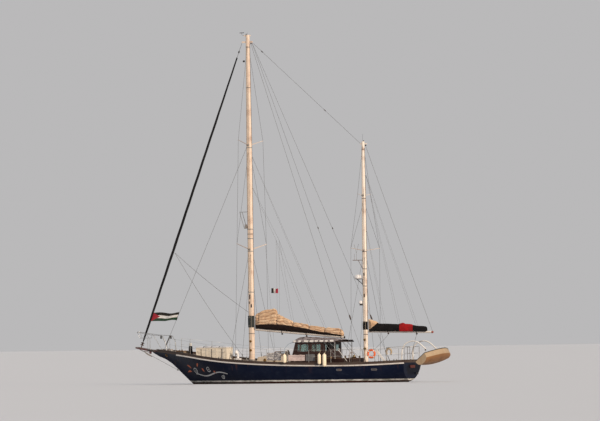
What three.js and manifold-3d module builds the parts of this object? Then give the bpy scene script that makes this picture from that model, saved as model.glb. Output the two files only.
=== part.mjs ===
// A two-masted cruising yacht (ketch) afloat, with both sails furled on their booms.
// Millimetres, +X towards the bow, +Y to port, +Z up. The origin is on the waterline, at mid length.
// The dark round-bilged hull has a clipper bow, a small flat transom and a long keel. Deck, bulwark,
// pilothouse, cockpit, rails, spars, standing rigging, stern davits and tender are separate solids
// that stand on each other.
import * as THREE from "three";
import { mergeVertices } from "three/addons/utils/BufferGeometryUtils.js";
import Module from "manifold-3d";

const wasm = await Module();
wasm.setup();

// Driving dimensions
const SEAT = 0.3; // the gap between two pieces that bear on each other
const TRANSOM_X = -9050;
const TRANSOM_RAKE = 0.12;
const DECK_THICK = 40;
const DECK_CAMBER = 80;
const MAX_HALF_BEAM = 2330;
const BULWARK_FORE_X = 8560;
const BULWARK_HIGH = 150;
const BULWARK_THICK = 55;
const CAP_THICK = 30;
const CAP_OVERHANG = 22;
const STRAKE_FORE_X = 6800;
const STRAKE_HIGH = 90;
const STRAKE_DEEP = 45;
const KEEL_Z = -2200;
const MAIN = { x: 2030, top: 21480, deep: 380, wide: 270, deepTop: 250, wideTop: 180 };
const MIZZEN = { x: -5870, top: 14700, deep: 290, wide: 210, deepTop: 190, wideTop: 140 };
const RAIL_R = 16;
const WIRE_R = 7;
const STANCHION_HIGH = 750;

const PAINT = {
  navy: [0x10162e, 0.35, 0.0],
  antifoul: [0x4b1f1a, 0.9, 0.0],
  white: [0xe9e4da, 0.5, 0.0],
  teak: [0x8a6a48, 0.8, 0.0],
  mahogany: [0x4a2620, 0.45, 0.0],
  cream: [0xe3cfae, 0.55, 0.0],
  steel: [0xc9ccd0, 0.25, 1.0],
  iron: [0x6b6d70, 0.6, 0.6],
  bronze: [0xa4773a, 0.35, 1.0],
  black: [0x17171a, 0.9, 0.0],
  sailcloth: [0xd8b48a, 0.9, 0.0],
  glass: [0x24404a, 0.08, 0.0],
  oxblood: [0x5a1f2a, 0.6, 0.0],
  fenderWhite: [0xefe6cf, 0.4, 0.0],
  orange: [0xd7481f, 0.6, 0.0],
};
const materials = Object.fromEntries(
  Object.entries(PAINT).map(([name, [color, roughness, metalness]]) => [
    name,
    new THREE.MeshStandardMaterial({ name, color, roughness, metalness }),
  ]),
);

// Solids
const V = (x, y, z) => new THREE.Vector3(x, y, z);

function solid(geometry) {
  const bare = geometry.clone();
  for (const extra of ["normal", "uv", "uv1"]) bare.deleteAttribute(extra);
  const merged = mergeVertices(bare, 1e-3);
  const triVerts = new Uint32Array(merged.index.array);
  const vertProperties = new Float32Array(merged.attributes.position.array);
  const made = new wasm.Manifold(new wasm.Mesh({ numProp: 3, vertProperties, triVerts }));
  if (made.volume() >= 0) return made;
  for (let i = 0; i < triVerts.length; i += 3) {
    [triVerts[i + 1], triVerts[i + 2]] = [triVerts[i + 2], triVerts[i + 1]];
  }
  return new wasm.Manifold(new wasm.Mesh({ numProp: 3, vertProperties, triVerts }));
}

function geometryOf(made) {
  const m = made.getMesh();
  const positions = new Float32Array(m.numVert * 3);
  for (let i = 0; i < m.numVert; i++) {
    positions.set(m.vertProperties.subarray(i * m.numProp, i * m.numProp + 3), i * 3);
  }
  const g = new THREE.BufferGeometry();
  g.setAttribute("position", new THREE.BufferAttribute(positions, 3));
  g.setIndex(new THREE.BufferAttribute(new Uint32Array(m.triVerts), 1));
  g.computeVertexNormals();
  return g;
}

const union = (...list) => list.flat().reduce((a, b) => a.add(b));
const largest = (made) => made.decompose().sort((a, b) => b.volume() - a.volume())[0];

// The piece with its neighbours cut out of it and a seat gap left all round them.
function fit(piece, ...neighbours) {
  const ways = [[0, 0, 1], [0, 0, -1], [0, 1, 0], [0, -1, 0], [1, 0, 0], [-1, 0, 0]];
  const cut = neighbours.flatMap((n) => ways.map((way) => n.translate(way.map((d) => d * SEAT))));
  return largest(cut.reduce((left, n) => left.subtract(n), piece));
}

// A closed body through rings of points, each ring with the same count, closed by a fan at both ends.
function loft(rings) {
  const n = rings[0].length;
  const points = rings.flat();
  const faces = [];
  for (let r = 0; r + 1 < rings.length; r++) {
    for (let i = 0; i < n; i++) {
      const a = r * n + i;
      const b = r * n + ((i + 1) % n);
      faces.push(a, b, a + n, b, b + n, a + n);
    }
  }
  for (const [start, turned] of [[0, true], [(rings.length - 1) * n, false]]) {
    const middle = points.length;
    const sum = rings[start / n].reduce((s, p) => s.add(p), V(0, 0, 0));
    points.push(sum.divideScalar(n));
    for (let i = 0; i < n; i++) {
      const a = start + i;
      const b = start + ((i + 1) % n);
      if (turned) faces.push(b, a, middle);
      else faces.push(a, b, middle);
    }
  }
  const g = new THREE.BufferGeometry().setFromPoints(points);
  g.setIndex(faces);
  return solid(g);
}

function box(lowX, highX, lowY, highY, lowZ, highZ) {
  const g = new THREE.BoxGeometry(highX - lowX, highY - lowY, highZ - lowZ);
  g.translate((lowX + highX) / 2, (lowY + highY) / 2, (lowZ + highZ) / 2);
  return solid(g);
}

// A round bar from one point to another, with its own radius at each end.
function bar(from, to, radius, radiusTo = radius, sides = 6) {
  const along = to.clone().sub(from);
  const g = new THREE.CylinderGeometry(radiusTo, radius, along.length(), sides);
  g.applyQuaternion(new THREE.Quaternion().setFromUnitVectors(V(0, 1, 0), along.clone().normalize()));
  g.translate(...from.clone().add(to).divideScalar(2).toArray());
  return solid(g);
}

// A round rod through several points, mitred at each bend.
function rod(points, radius, sides = 6) {
  const last = points.length - 1;
  const ways = points.slice(1).map((p, i) => p.clone().sub(points[i]).normalize());
  const across = Math.abs(ways[0].z) > 0.9 ? V(1, 0, 0) : V(0, 0, 1);
  const u = ways[0].clone().cross(across).normalize();
  const v = u.clone().cross(ways[0]);
  const first = Array.from({ length: sides }, (_, i) => {
    const a = (2 * Math.PI * (i + 0.5)) / sides;
    const out = u.clone().multiplyScalar(Math.cos(a)).addScaledVector(v, Math.sin(a));
    return points[0].clone().addScaledVector(out, radius);
  });
  const rings = [first];
  for (let i = 1; i <= last; i++) {
    const way = ways[i - 1];
    const normal = i < last ? way.clone().add(ways[i]) : way;
    rings.push(rings[i - 1].map((p) => {
      const reach = points[i].clone().sub(p).dot(normal) / way.dot(normal);
      return p.clone().addScaledVector(way, reach);
    }));
  }
  return loft(rings);
}

// A bent tube along a smooth curve.
function tube(points, radius, steps, sides = 8) {
  const section = new THREE.Shape();
  for (let i = 0; i < sides; i++) {
    const a = (2 * Math.PI * i) / sides;
    const x = radius * Math.cos(a);
    const y = radius * Math.sin(a);
    if (i) section.lineTo(x, y);
    else section.moveTo(x, y);
  }
  section.closePath();
  const extrudePath = new THREE.CatmullRomCurve3(points, false, "centripetal");
  return solid(new THREE.ExtrudeGeometry(section, { steps, extrudePath, bevelEnabled: false }));
}

// A body turned about the vertical through its foot, from an outline of radius and height.
function turned(outline, sides, foot) {
  const g = new THREE.LatheGeometry(outline.map(([r, z]) => new THREE.Vector2(r, z)), sides);
  g.rotateX(Math.PI / 2);
  g.translate(foot.x, foot.y, foot.z);
  return solid(g);
}

const mirrored = (made) => made.mirror([0, 1, 0]);

const group = new THREE.Group();
const made = {};
function add(name, piece, material) {
  const mesh = new THREE.Mesh(geometryOf(piece), materials[material]);
  mesh.name = name;
  group.add(mesh);
  made[name] = piece;
  return piece;
}

// Hull form. halfBeam and sheer are the deck edge, bottom is the centreline of the round body,
// and low and high are the two control points of each section's curve as shares of beam and depth.
const FORM = [
  // x, halfBeam, sheer, bottom, lowY, lowZ, highY, highZ
  [9000, 60, 2040, 1975, 0.3, 0.3, 0.7, 0.7],
  [8500, 300, 2005, 1710, 0.2, 0.3, 0.5, 0.75],
  [7900, 580, 1955, 1465, 0.14, 0.35, 0.42, 0.8],
  [7200, 880, 1880, 900, 0.12, 0.4, 0.42, 0.8],
  [6400, 1190, 1795, 190, 0.13, 0.36, 0.5, 0.78],
  [5700, 1420, 1705, -330, 0.18, 0.3, 0.6, 0.72],
  [4500, 1750, 1540, -740, 0.32, 0.24, 0.78, 0.64],
  [2800, 2060, 1355, -960, 0.52, 0.18, 0.94, 0.54],
  [500, 2290, 1205, -1070, 0.7, 0.14, 1.03, 0.48],
  [-1500, 2330, 1125, -1080, 0.74, 0.13, 1.05, 0.46],
  [-3500, 2250, 1080, -1010, 0.72, 0.13, 1.05, 0.46],
  [-5300, 2050, 1065, -840, 0.68, 0.12, 1.05, 0.46],
  [-6800, 1760, 1085, -540, 0.64, 0.1, 1.04, 0.44],
  [-7900, 1490, 1125, -230, 0.6, 0.08, 1.02, 0.44],
  [-9050, 1170, 1180, 60, 0.56, 0.08, 1.0, 0.44],
];
const HULL_STATIONS = [
  9000, 8560, 8100, 7650, 7200, 6800, 6400, 6000, 5400, 4700, 3900, 3000, 2000, 1000, 0,
  -1000, -2000, -3000, -4000, -5000, -5900, -6700, -7500, -8300, TRANSOM_X,
];

// Every column of FORM at x, on a smooth curve through the rows.
function formAt(x) {
  const last = FORM.length - 1;
  let i = 0;
  while (i < last - 1 && x < FORM[i + 1][0]) i++;
  const [a, b] = [FORM[i], FORM[i + 1]];
  const before = FORM[Math.max(i - 1, 0)];
  const after = FORM[Math.min(i + 2, last)];
  const t = (x - a[0]) / (b[0] - a[0]);
  const span = b[0] - a[0];
  return a.map((p, k) => {
    const q = b[k];
    const slopeA = i ? ((q - before[k]) / (b[0] - before[0])) * span : q - p;
    const slopeB = i + 1 < last ? ((after[k] - p) / (after[0] - a[0])) * span : q - p;
    const t2 = t * t;
    const t3 = t2 * t;
    const level = (2 * t3 - 3 * t2 + 1) * p + (3 * t2 - 2 * t3) * q;
    return level + (t3 - 2 * t2 + t) * slopeA + (t3 - t2) * slopeB;
  });
}

const halfBeamAt = (x) => formAt(x)[1];
const sheerAt = (x) => formAt(x)[2];
const deckTopAt = (x, y) =>
  sheerAt(x) + DECK_THICK + DECK_CAMBER * ((halfBeamAt(x) ** 2 - y ** 2) / MAX_HALF_BEAM ** 2);
const capTopAt = (x) => sheerAt(x) + BULWARK_HIGH + CAP_THICK;
const railYAt = (x) => halfBeamAt(x) - 4 - BULWARK_THICK / 2;

// Half a section from the centreline up to the deck edge.
function sectionAt(x, steps) {
  const [, beam, sheer, bottom, lowY, lowZ, highY, highZ] = formAt(x);
  const deep = sheer - bottom;
  const half = [];
  for (let i = 0; i <= steps; i++) {
    const t = i / steps;
    const s = 1 - t;
    const y = 3 * s * s * t * lowY * beam + 3 * s * t * t * highY * beam + t ** 3 * beam;
    const z = bottom + 3 * s * s * t * lowZ * deep + 3 * s * t * t * highZ * deep + t ** 3 * deep;
    half.push([y, z]);
  }
  return half;
}

const COCKPIT = { fore: -3760, aft: -5350, half: 900, sole: 520, coaming: 1480 };
const HOUSE = {
  fore: -1300,
  aft: -3560,
  half: 1270,
  lean: 70,
  rake: 330,
  low: 1180,
  top: 2480,
  wall: 50,
  sole: 600,
};
const WELL_HALF = HOUSE.half - HOUSE.wall - 60;

function cutWells(body) {
  return body
    .subtract(box(COCKPIT.aft, COCKPIT.fore, -COCKPIT.half, COCKPIT.half, COCKPIT.sole, 2000))
    .subtract(box(HOUSE.aft + 110, HOUSE.fore - 420, -WELL_HALF, WELL_HALF, HOUSE.sole, 2000));
}

function buildHull() {
  const steps = 9;
  const rings = HULL_STATIONS.map((x) => {
    const half = sectionAt(x, steps);
    const top = half[steps][1];
    const lean = x === TRANSOM_X ? TRANSOM_RAKE : 0;
    const port = half.map(([y, z]) => V(x + lean * (top - z), y, z));
    const starboard = port.slice(1).reverse().map((p) => V(p.x, -p.y, p.z));
    return [...starboard, ...port];
  });
  return cutWells(loft(rings));
}

// The rim of the fore hatch stands on the deck and is part of it.
const HATCH = { aft: 6690, fore: 7290, half: 300, rim: 45, lid: 45 };
HATCH.top = deckTopAt(HATCH.fore, 0) + 95;

function buildDeck() {
  const inset = BULWARK_THICK + 15;
  const stations = HULL_STATIONS.slice(1, -1);
  stations.push(TRANSOM_X + inset);
  const rings = stations.map((x) => {
    const half = halfBeamAt(x) - inset;
    const low = sheerAt(x) + SEAT;
    const row = [-1, -0.6, 0, 0.6, 1].map((share) => V(x, share * half, deckTopAt(x, share * half)));
    return [V(x, half, low), V(x, 0, low), V(x, -half, low), ...row];
  });
  const { aft, fore, half, rim, top } = HATCH;
  const coaming = loft([aft, fore].map((x) => [
    V(x, half, deckTopAt(x, 0) - 15), V(x, half, top), V(x, -half, top), V(x, -half, deckTopAt(x, 0) - 15),
  ]));
  const hole = box(aft + rim, fore - rim, rim - half, half - rim, deckTopAt(fore, 0) + 8, top + 20);
  return cutWells(union(loft(rings), coaming).subtract(hole));
}

// The low wooden wall round the deck edge, with its wider cap.
function buildBulwark() {
  const stations = HULL_STATIONS.filter((x) => x <= BULWARK_FORE_X);
  const port = loft(stations.map((x) => {
    const edge = halfBeamAt(x) - 4;
    const low = sheerAt(x) + SEAT;
    const high = sheerAt(x) + BULWARK_HIGH;
    const inside = edge - BULWARK_THICK;
    return [
      [edge, low], [edge, high],
      [edge + CAP_OVERHANG, high], [edge + CAP_OVERHANG, high + CAP_THICK],
      [inside - CAP_OVERHANG, high + CAP_THICK], [inside - CAP_OVERHANG, high],
      [inside, high], [inside, low],
    ].map(([y, z]) => V(x, y, z));
  }));
  const end = halfBeamAt(TRANSOM_X);
  const low = sheerAt(TRANSOM_X);
  const wall = box(TRANSOM_X, TRANSOM_X + BULWARK_THICK, 8 - end, end - 8, low + SEAT, low + BULWARK_HIGH);
  const capLow = low + BULWARK_HIGH - 1;
  const cap = box(TRANSOM_X - 24, TRANSOM_X + 80, -end - 10, end + 10, capLow, capLow + CAP_THICK);
  return union(port, mirrored(port), wall, cap);
}

function buildStrake(hull, side) {
  const stations = HULL_STATIONS.filter((x) => x < STRAKE_FORE_X);
  stations.unshift(STRAKE_FORE_X);
  const body = loft(stations.map((x) => {
    const edge = halfBeamAt(x);
    const high = sheerAt(x) + 20;
    const deep = x === STRAKE_FORE_X ? 14 : STRAKE_DEEP;
    const ring = [[-40, -26], [1, -21], [1, 0], [deep * 0.75, -12], [deep, -STRAKE_HIGH / 2]];
    const low = [[deep * 0.75, 12 - STRAKE_HIGH], [-40, -STRAKE_HIGH]];
    return [...ring, ...low].map(([out, up]) => V(x, side * (edge + out), high + up));
  }));
  const ways = [[0, side * 2 * SEAT, 0], [0, 0, SEAT], [-SEAT, 0, 0]];
  return largest(ways.reduce((cut, way) => cut.subtract(hull.translate(way)), body));
}

// A blade lying fore and aft, from rows of level, nose, tail and half thickness.
function blade(rows) {
  const shares = [[0, 0], [0.06, 0.6], [0.3, 1], [0.75, 0.75], [1, 0.12]];
  return loft(rows.map(([z, nose, tail, half]) => {
    const port = shares.map(([s, w]) => V(nose + s * (tail - nose), w * half, z));
    const starboard = shares.slice(1).reverse().map(([s, w]) => V(nose + s * (tail - nose), -w * half, z));
    return [...port, ...starboard];
  }));
}

const RUDDER = { stock: -6420, top: -700, bottom: -2090, nose: -6360, tail: -7250 };
const PROPELLER = { x: -6120, z: -1100, r: 290 };
const AFT_POST = -6250;

function buildKeel(hull) {
  const body = blade([
    [-500, 5200, AFT_POST, 190],
    [-1000, 4800, AFT_POST, 180],
    [-1400, 4000, AFT_POST, 170],
    [-1900, 2800, AFT_POST, 190],
    [KEEL_Z + 40, 2200, AFT_POST, 200],
    [KEEL_Z, 2000, AFT_POST + 50, 170],
  ]);
  const { x, z, r } = PROPELLER;
  const aperture = box(x - 280, x + 180, -400, 400, z - r - 70, z + r + 60);
  const shoe = box(RUDDER.stock - 90, AFT_POST + 120, -45, 45, KEEL_Z + 5, KEEL_Z + 95);
  const stockHole = bar(V(RUDDER.stock, 0, KEEL_Z + 70), V(RUDDER.stock, 0, -1900), 30.8, 30.8, 24);
  const heel = union(body.subtract(aperture), shoe).subtract(stockHole);
  return largest(heel.subtract(hull.translate([0, 0, -SEAT])));
}

function buildRudder() {
  const plate = blade([
    [RUDDER.top, RUDDER.nose, RUDDER.tail + 260, 45],
    [-1300, RUDDER.nose, RUDDER.tail, 50],
    [RUDDER.bottom, RUDDER.nose, RUDDER.tail + 120, 50],
  ]);
  return union(plate, bar(V(RUDDER.stock, 0, KEEL_Z + 71), V(RUDDER.stock, 0, -400), 30, 30, 24));
}

function buildPropeller() {
  const { x, z, r } = PROPELLER;
  const hub = bar(V(x - 90, 0, z), V(x + 70, 0, z), 48, 62, 12);
  const blades = [0, 1, 2].map((i) => {
    const g = new THREE.SphereGeometry(1, 8, 6);
    g.scale(9, 95, r / 2);
    g.translate(0, 0, r / 2 + 3);
    g.rotateZ(0.55);
    g.rotateX((i * 2 * Math.PI) / 3);
    g.translate(x, 0, z);
    return solid(g);
  });
  const bore = bar(V(x + 10, 0, z), V(x + 75, 0, z), 25.6, 25.6, 16);
  return union(hub, ...blades).subtract(bore);
}

function buildShaft(keel, hull) {
  const { x, z } = PROPELLER;
  const shaft = bar(V(x + 12, 0, z), V(x + 300, 0, z), 25, 25, 16);
  const housing = bar(V(x + 90, 0, z), V(x + 260, 0, z), 55, 60, 12);
  const around = keel.add(hull);
  return largest(union(shaft, housing).subtract(around.translate([-SEAT, 0, 0])));
}

const hullForm = buildHull();
const keel = add("keel", buildKeel(hullForm), "antifoul");
const rudderTube = bar(V(RUDDER.stock, 0, -900), V(RUDDER.stock, 0, -380), 30.8, 30.8, 24);
const hull = add("hull", hullForm.subtract(rudderTube), "navy");
add("propeller", buildPropeller(), "bronze");
add("propeller_shaft", buildShaft(keel, hull), "steel");
add("rudder", buildRudder(), "antifoul");
const deck = add("deck", buildDeck(), "teak");
const bulwark = add("bulwark", buildBulwark(), "teak");
const SIDES = [["port", 1], ["starboard", -1]];
for (const [name, side] of SIDES) add(`rubbing_strake_${name}`, buildStrake(hull, side), "white");

// A piece whose foot is cut to stand on what carries it.
const seat = (piece, ...on) =>
  largest(on.reduce((cut, under) => cut.subtract(under.translate([0, 0, SEAT])), piece));

// Bow: a plank platform over the stem head, with the anchor under it and a rail round it.
const ANCHOR_Y = 128;
const ROLLER_X = 9120;

function buildBowsprit() {
  const rows = [
    // x, low, high, half width
    [8470, 1990, 2105, 175],
    [9000, 2025, 2140, 170],
    [10170, 2250, 2335, 150],
  ];
  const body = loft(rows.map(([x, low, high, half]) => [
    V(x, half, low), V(x, half, high), V(x, -half, high), V(x, -half, low),
  ]));
  const low = platformLowAt(ROLLER_X) - 80;
  const roll = bar(V(ROLLER_X, ANCHOR_Y - 36, low - 24), V(ROLLER_X, ANCHOR_Y + 36, low - 24), 24, 24, 12);
  const cheeks = [-30, 30].map((off) =>
    box(ROLLER_X - 60, ROLLER_X + 60, ANCHOR_Y + off - 5, ANCHOR_Y + off + 5, low - 60, low + 90),
  );
  return fit(union(body, roll, ...cheeks), hull, deck);
}
const platformTopAt = (x) => 2140 + ((x - 9000) / 1170) * 195;
const platformLowAt = (x) => 2025 + ((x - 9000) / 1170) * 225;

const bowsprit = add("bowsprit", buildBowsprit(), "oxblood");

function buildPulpit() {
  const rail = [
    [7760, 620, 2640], [7980, 640, 3020], [8750, 500, 3060],
    [9600, 300, 3190], [10060, 160, 3270], [10150, 0, 3285],
  ];
  const foot = V(7700, railYAt(7700), capTopAt(7700) - 20);
  const port = [foot, ...rail.map(([x, y, z]) => V(x, y, z))];
  const ring = [[9160, 150, 2890], [9860, 110, 2890], [9930, 0, 2890]].map(([x, y, z]) => V(x, y, z));
  const around = (points) => [...points, ...points.map((p) => V(p.x, -p.y, p.z)).reverse().slice(1)];
  const side = [
    bar(V(8700, 508, 3054), V(8120, railYAt(8120), capTopAt(8120) - 20), RAIL_R - 3),
    bar(V(9830, 112, 2886), V(10030, 172, 3268), 9, 9, 5),
    bar(V(9300, 142, 2893), V(9300, 142, platformTopAt(9300) - 10), RAIL_R - 3),
    bar(V(9220, 143, 2887), V(9240, 380, 3130), 9, 9, 5),
  ];
  const cross = bar(V(9190, -147, 2888), V(9190, 147, 2888), 9, 9, 5);
  const lamps = [1, -1].map((way) => bar(V(8080, way * 622, 2830), V(8080, way * 622, 3000), 68, 68, 10));
  const tubes = [rod(around(port), RAIL_R), rod(around(ring), 11, 6), ...side, ...side.map(mirrored)];
  return seat(union(...tubes, cross, ...lamps), bulwark, bowsprit);
}
add("pulpit", buildPulpit(), "steel");

// A plough anchor whose shank lies on the roller under the platform's port side.
function buildAnchor() {
  const shank = loft([9060, 9560].map((x) => {
    const high = platformLowAt(x) - 30;
    return [V(x, 12, high - 50), V(x, 12, high), V(x, -12, high), V(x, -12, high - 50)];
  }));
  const plough = loft([
    [V(9540, 10, 2010), V(9540, 0, 2060), V(9540, -10, 2010), V(9540, 0, 1985)],
    [V(9440, 80, 1895), V(9440, 0, 2000), V(9440, -80, 1895), V(9440, 0, 1975)],
    [V(9200, 100, 1790), V(9200, 0, 1880), V(9200, -100, 1790), V(9200, 0, 1850)],
    [V(9040, 40, 1740), V(9040, 0, 1775), V(9040, -40, 1740), V(9040, 0, 1755)],
  ]);
  return union(shank, plough).translate([0, ANCHOR_Y, 0]);
}
add("anchor", fit(buildAnchor(), bowsprit), "iron");

const stemAt = (z) => {
  const x = [9000, 8500, 7900, 7200, 6400];
  const low = [1975, 1710, 1465, 900, 190];
  let i = 0;
  while (z < low[i + 1]) i++;
  return x[i] + ((z - low[i]) / (low[i + 1] - low[i])) * (x[i + 1] - x[i]);
};

function buildBobstay() {
  const eye = V(9990, 0, platformLowAt(9990) + 20);
  const heel = V(stemAt(900) - 30, 0, 900);
  const plate = box(heel.x - 40, heel.x + 130, -12, 12, 850, 950);
  const stay = union(bar(eye, V(heel.x + 70, 0, 905), 12), plate);
  const shapes = [bowsprit.translate([0, 0, -SEAT]), hull.translate([SEAT, 0, -SEAT])];
  return largest(stay.subtract(union(...shapes)));
}
add("bobstay", buildBobstay(), "steel");

function buildWindlass() {
  const body = box(7620, 7900, -110, 110, 1960, 2180);
  const drums = bar(V(7770, -230, 2130), V(7770, 230, 2130), 60, 60, 8);
  const gypsy = bar(V(7770, 120, 2130), V(7770, 165, 2130), 95, 95, 12);
  return seat(union(body, drums, gypsy), deck);
}
add("windlass", buildWindlass(), "iron");

function buildCapstan() {
  const x = 6350;
  const outline = [
    [0, 0], [120, 0], [120, 120], [75, 170], [75, 420], [110, 470], [95, 560], [45, 620], [0, 625],
  ];
  return seat(turned(outline, 14, V(x, 0, deckTopAt(x, 0) - 25)), deck);
}
add("capstan", buildCapstan(), "black");

// Deck locker before the main mast. Its lid turns on the starboard edge.
const LOCKER = { aft: 3600, fore: 5750, half: 375, top: 2235, wall: 30, lid: 50 };

function buildLocker() {
  const { aft, fore, half, top, wall } = LOCKER;
  const inside = box(aft + wall, fore - wall, wall - half, half - wall, deckTopAt(fore, 0) + 60, top + 20);
  return seat(box(aft, fore, -half, half, deckTopAt(aft, 0) - 30, top).subtract(inside), deck);
}
add("foredeck_locker", buildLocker(), "cream");

// A lid that lies on the rim of a box and laps over it on every side.
const lidOf = ({ aft, fore, half, top }, lap, thick) =>
  box(aft - lap, fore + lap, -half - lap, half + lap, top + SEAT, top + thick);
add("foredeck_locker_lid", lidOf(LOCKER, 15, LOCKER.lid), "white");
add("fore_hatch_lid", lidOf(HATCH, 12, HATCH.lid), "teak");

function buildVentilator() {
  const x = 3020;
  const outline = [
    [0, 0], [110, 0], [110, 150], [60, 190], [60, 300],
    [185, 380], [190, 440], [150, 530], [70, 590], [0, 600],
  ];
  return seat(turned(outline, 16, V(x, 0, deckTopAt(x, 0) - 25)), deck);
}
add("deck_ventilator", buildVentilator(), "white");

// Low trunk cabin between the main mast and the pilothouse, with a pitched skylight on it.
const TRUNK = { aft: -1180, fore: 1330, half: 1000, halfFore: 780, top: 1640 };

function buildTrunk() {
  const { aft, fore, half, halfFore, top } = TRUNK;
  const ring = (x, width, high) => [
    V(x, width, 1200), V(x, width - 45, high), V(x, 0, high + 55),
    V(x, 45 - width, high), V(x, -width, 1200),
  ];
  const nose = ring(fore, halfFore, top - 15).map((p) => V(p.x - (p.z - 1200) * 0.25, p.y, p.z));
  const skylight = loft([-420, 380].map((x) => [
    V(x, 330, 1600), V(x, 330, 1790), V(x, 0, 1930), V(x, -330, 1790), V(x, -330, 1600),
  ]));
  return seat(union(loft([ring(aft, half, top), nose]), skylight), deck);
}
const trunk = add("trunk_cabin", buildTrunk(), "cream");

// Pilothouse: wooden walls with the window and door openings cut, glass in the openings and a wide roof.
const houseHalfAt = (z) => HOUSE.half - (HOUSE.lean * (z - HOUSE.low)) / (HOUSE.top - HOUSE.low);
const houseForeAt = (z) => HOUSE.fore - (HOUSE.rake * (z - HOUSE.low)) / (HOUSE.top - HOUSE.low);
const DOOR = { half: 300, low: 1300, high: 2330 };
const WINDOW = { low: 1930, high: 2370 };
const SIDE_WINDOWS = [
  // name, aft, fore
  ["aft", -3390, -2760],
  ["fore", -2540, -1800],
];
const FRONT_WINDOWS = [
  // name, starboard edge, port edge
  ["starboard", -1080, -420],
  ["middle", -340, 340],
  ["port", 420, 1080],
];

// The house's outline shell between two levels, drawn in by a margin on every side.
function houseBlock(low, high, margin, foreMargin = margin, aftMargin = margin) {
  const ring = (z) => {
    const half = houseHalfAt(z) - margin;
    const fore = houseForeAt(z) - foreMargin;
    const aft = HOUSE.aft + aftMargin;
    return [V(fore, half, z), V(aft, half, z), V(aft, -half, z), V(fore, -half, z)];
  };
  return loft([ring(low), ring(high)]);
}

function windowCutters(grow) {
  const { low, high } = WINDOW;
  const sides = SIDE_WINDOWS.map(([, aft, fore]) =>
    box(aft - grow, fore + grow, -2000, 2000, low - grow, high + grow),
  );
  const fronts = FRONT_WINDOWS.map(([, right, left]) =>
    box(-1900, -500, right - grow, left + grow, low - grow, high + grow),
  );
  return { sides, fronts };
}

const HINGE = { x: HOUSE.aft - 14, y: DOOR.half + 12, levels: [1560, 2080] };

// The pins of the door's hinges, each between two lugs on the wall.
function buildHingePins() {
  return HINGE.levels.flatMap((z) => [
    bar(V(HINGE.x, HINGE.y, z - 26), V(HINGE.x, HINGE.y, z + 26), 5, 5, 16),
    ...[-27, 18].map((off) => z + off).map((foot) =>
      box(HINGE.x - 9, HOUSE.aft + 5, HINGE.y - 9, HINGE.y + 30, foot, foot + 9)),
  ]);
}

function buildHouse() {
  const { low, top, wall, aft } = HOUSE;
  const shell = houseBlock(low - 120, top, 0).subtract(houseBlock(low - 140, top + 20, wall));
  const { sides, fronts } = windowCutters(0);
  const door = box(aft - 10, aft + wall + 60, -DOOR.half, DOOR.half, DOOR.low, DOOR.high);
  const ports = [700, -700].map((y) => box(aft - 10, aft + wall + 60, y - 230, y + 230, 1930, 2330));
  const walls = shell.subtract(union(sides, fronts, door, ports));
  return fit(union(walls, ...buildHingePins()), deck, trunk);
}
const house = add("pilothouse_walls", buildHouse(), "mahogany");

// The glass lies against the walls' inner faces, one sheet behind the openings of each side.
function buildGlass() {
  const gap = HOUSE.wall + SEAT;
  const thick = 8;
  const { low, high } = WINDOW;
  const slice = houseBlock(HOUSE.low, HOUSE.top, gap, gap, gap)
    .subtract(houseBlock(HOUSE.low - 20, HOUSE.top + 20, gap + thick, gap + thick, gap + thick));
  const lap = 25;
  const aft = SIDE_WINDOWS[0][1] - lap;
  const fore = SIDE_WINDOWS[1][2] + lap;
  for (const [name, side] of SIDES) {
    const reach = box(aft, fore, side > 0 ? 1000 : -2000, side > 0 ? 2000 : -1000, low - lap, high + lap);
    add(`side_glass_${name}`, largest(slice.intersect(reach)), "glass");
  }
  const half = FRONT_WINDOWS[2][2] + lap;
  const screen = slice.intersect(box(-1800, -1000, -half, half, low - lap, high + lap));
  add("windscreen_glass", largest(screen), "glass");
}
buildGlass();

// The roof and the padded awning that is laced over it, which is high in front and falls aft.
const AWNING = [
  // x, half width, crown
  [-1450, 1200, 2740],
  [-1560, 1270, 2840],
  [-2150, 1290, 2840],
  [-3300, 1290, 2760],
  [-4300, 1290, 2675],
  [-4400, 1270, 2630],
];
const AWNING_EDGE = 60;

function buildRoof() {
  const { top } = HOUSE;
  const low = top + SEAT;
  const edge = low + AWNING_EDGE;
  const ring = (x, half, crown) => {
    const shoulder = edge + (crown - edge) * 0.8;
    return [
      V(x, half, low), V(x, half, edge), V(x, half * 0.72, shoulder), V(x, 0, crown),
      V(x, half * -0.72, shoulder), V(x, -half, edge), V(x, -half, low),
    ];
  };
  const body = loft(AWNING.map((row) => ring(...row)));
  const posts = [1130, -1130].map((y) => bar(V(-4330, y, 1400), V(-4330, y, top + 30), 22, 22, 8));
  return { body, posts };
}

// Cockpit: a coaming round the well with a bench on each side, the wheel on its pedestal at the aft end.
const SEAT_TOP = 960;
const SEAT_INNER = 500;

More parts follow.
